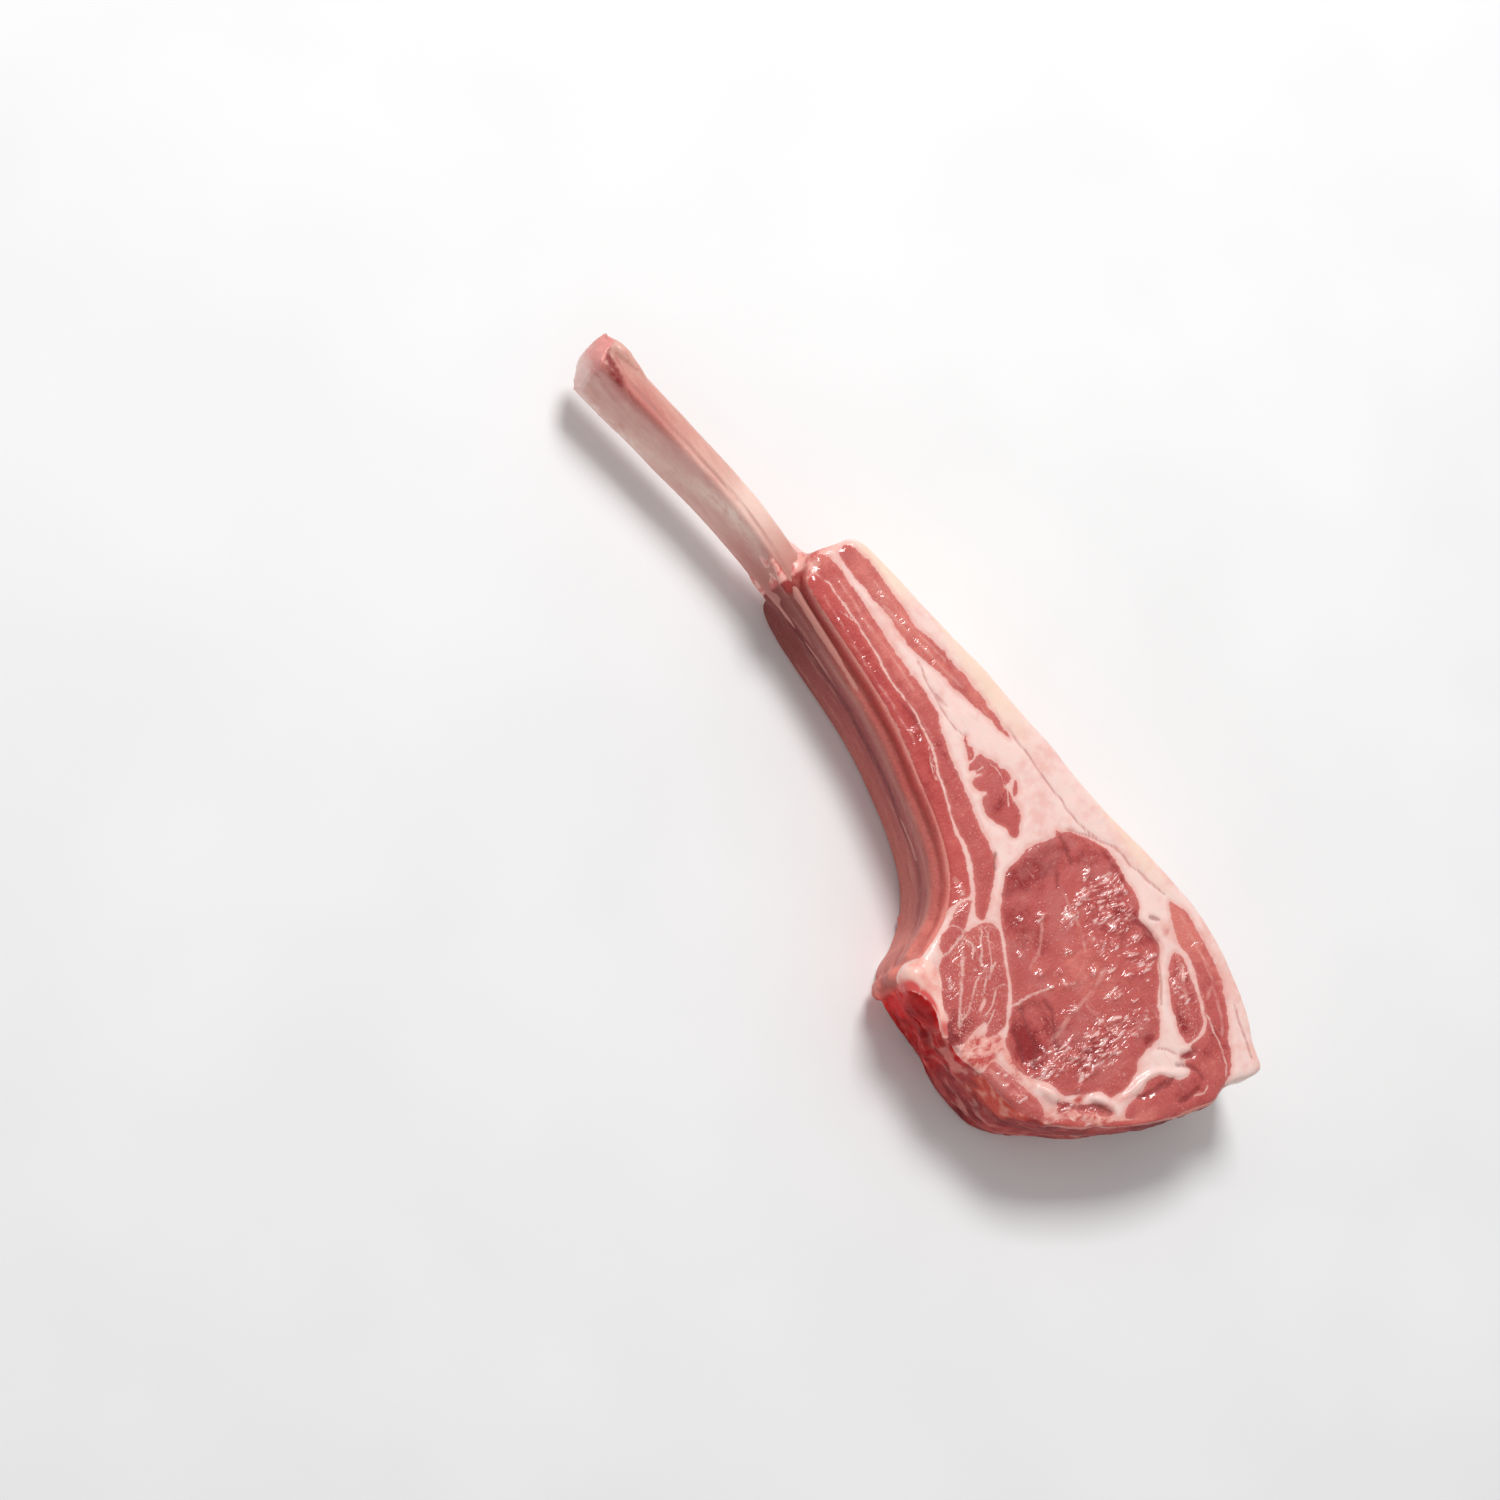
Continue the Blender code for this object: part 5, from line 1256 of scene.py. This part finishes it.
def floor_material():
    """A plain pale floor with the faintest unevenness."""
    n = Nodes("pale_floor")
    tint = n.ramp(n.noise(0.02, 0), -0.3, 0.3)
    return n.finish(n.mix(tint, (0.90, 0.90, 0.90, 1.0), (0.86, 0.86, 0.86, 1.0)), 0.7, None)


# ---------------------------------------------------------------- stage, light and camera
def make_floor(reach):
    """A broad floor just under the part; reach is in metres from its middle to its edge."""
    mesh = bpy.data.meshes.new("floor")
    corners = [(-reach, -reach, 0), (reach, -reach, 0), (reach, reach, 0), (-reach, reach, 0)]
    mesh.from_pydata(corners, [], [(0, 1, 2, 3)])
    mesh.materials.append(floor_material())
    floor = put("floor", mesh)


def make_light(name, place, size, power):
    """A square soft light that faces the part; place is in metres from the frame's origin."""
    lamp = bpy.data.lights.new(name, "AREA")
    lamp.shape = "SQUARE"
    lamp.size = size
    lamp.energy = power
    item = put(name, lamp)
    item.location = place
    item.rotation_mode = "QUATERNION"
    item.rotation_quaternion = (Vector(LIT_PLACE) - Vector(place)).to_track_quat("-Z", "Y")


def make_camera():
    """The photograph's view."""
    camera = bpy.data.cameras.new("camera")
    camera.lens = 100
    camera.sensor_width = 36
    camera.clip_start = 0.05
    item = put("camera", camera)
    place = (Vector(CAMERA_PLACE) + Vector(SHIFT)) * MM
    item.matrix_world = Matrix.Translation(place) @ Matrix(CAMERA_AXES).transposed().to_4x4()
    bpy.context.scene.camera = item


def set_world(strength):
    """An even near-white surround."""
    world = bpy.data.worlds.new("surround")
    world.use_nodes = True
    background = world.node_tree.nodes["Background"]
    background.inputs["Color"].default_value = (1.0, 1.0, 1.0, 1.0)
    background.inputs["Strength"].default_value = strength
    bpy.context.scene.world = world


meat = make_meat(meat_material("cut_face", 0.9), meat_material("sides", 0.0))
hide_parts(*[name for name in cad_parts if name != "rib_bone"])
rib = make_rib(bone_material())
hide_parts("rib_bone")

make_floor(reach=6.0)
set_world(strength=0.45)
make_light("key", place=(0.30, 0.42, 0.86), size=0.30, power=6.8)
make_camera()
view = bpy.context.scene.view_settings
view.view_transform = "Standard"
view.look = "None"
view.exposure = 0.0
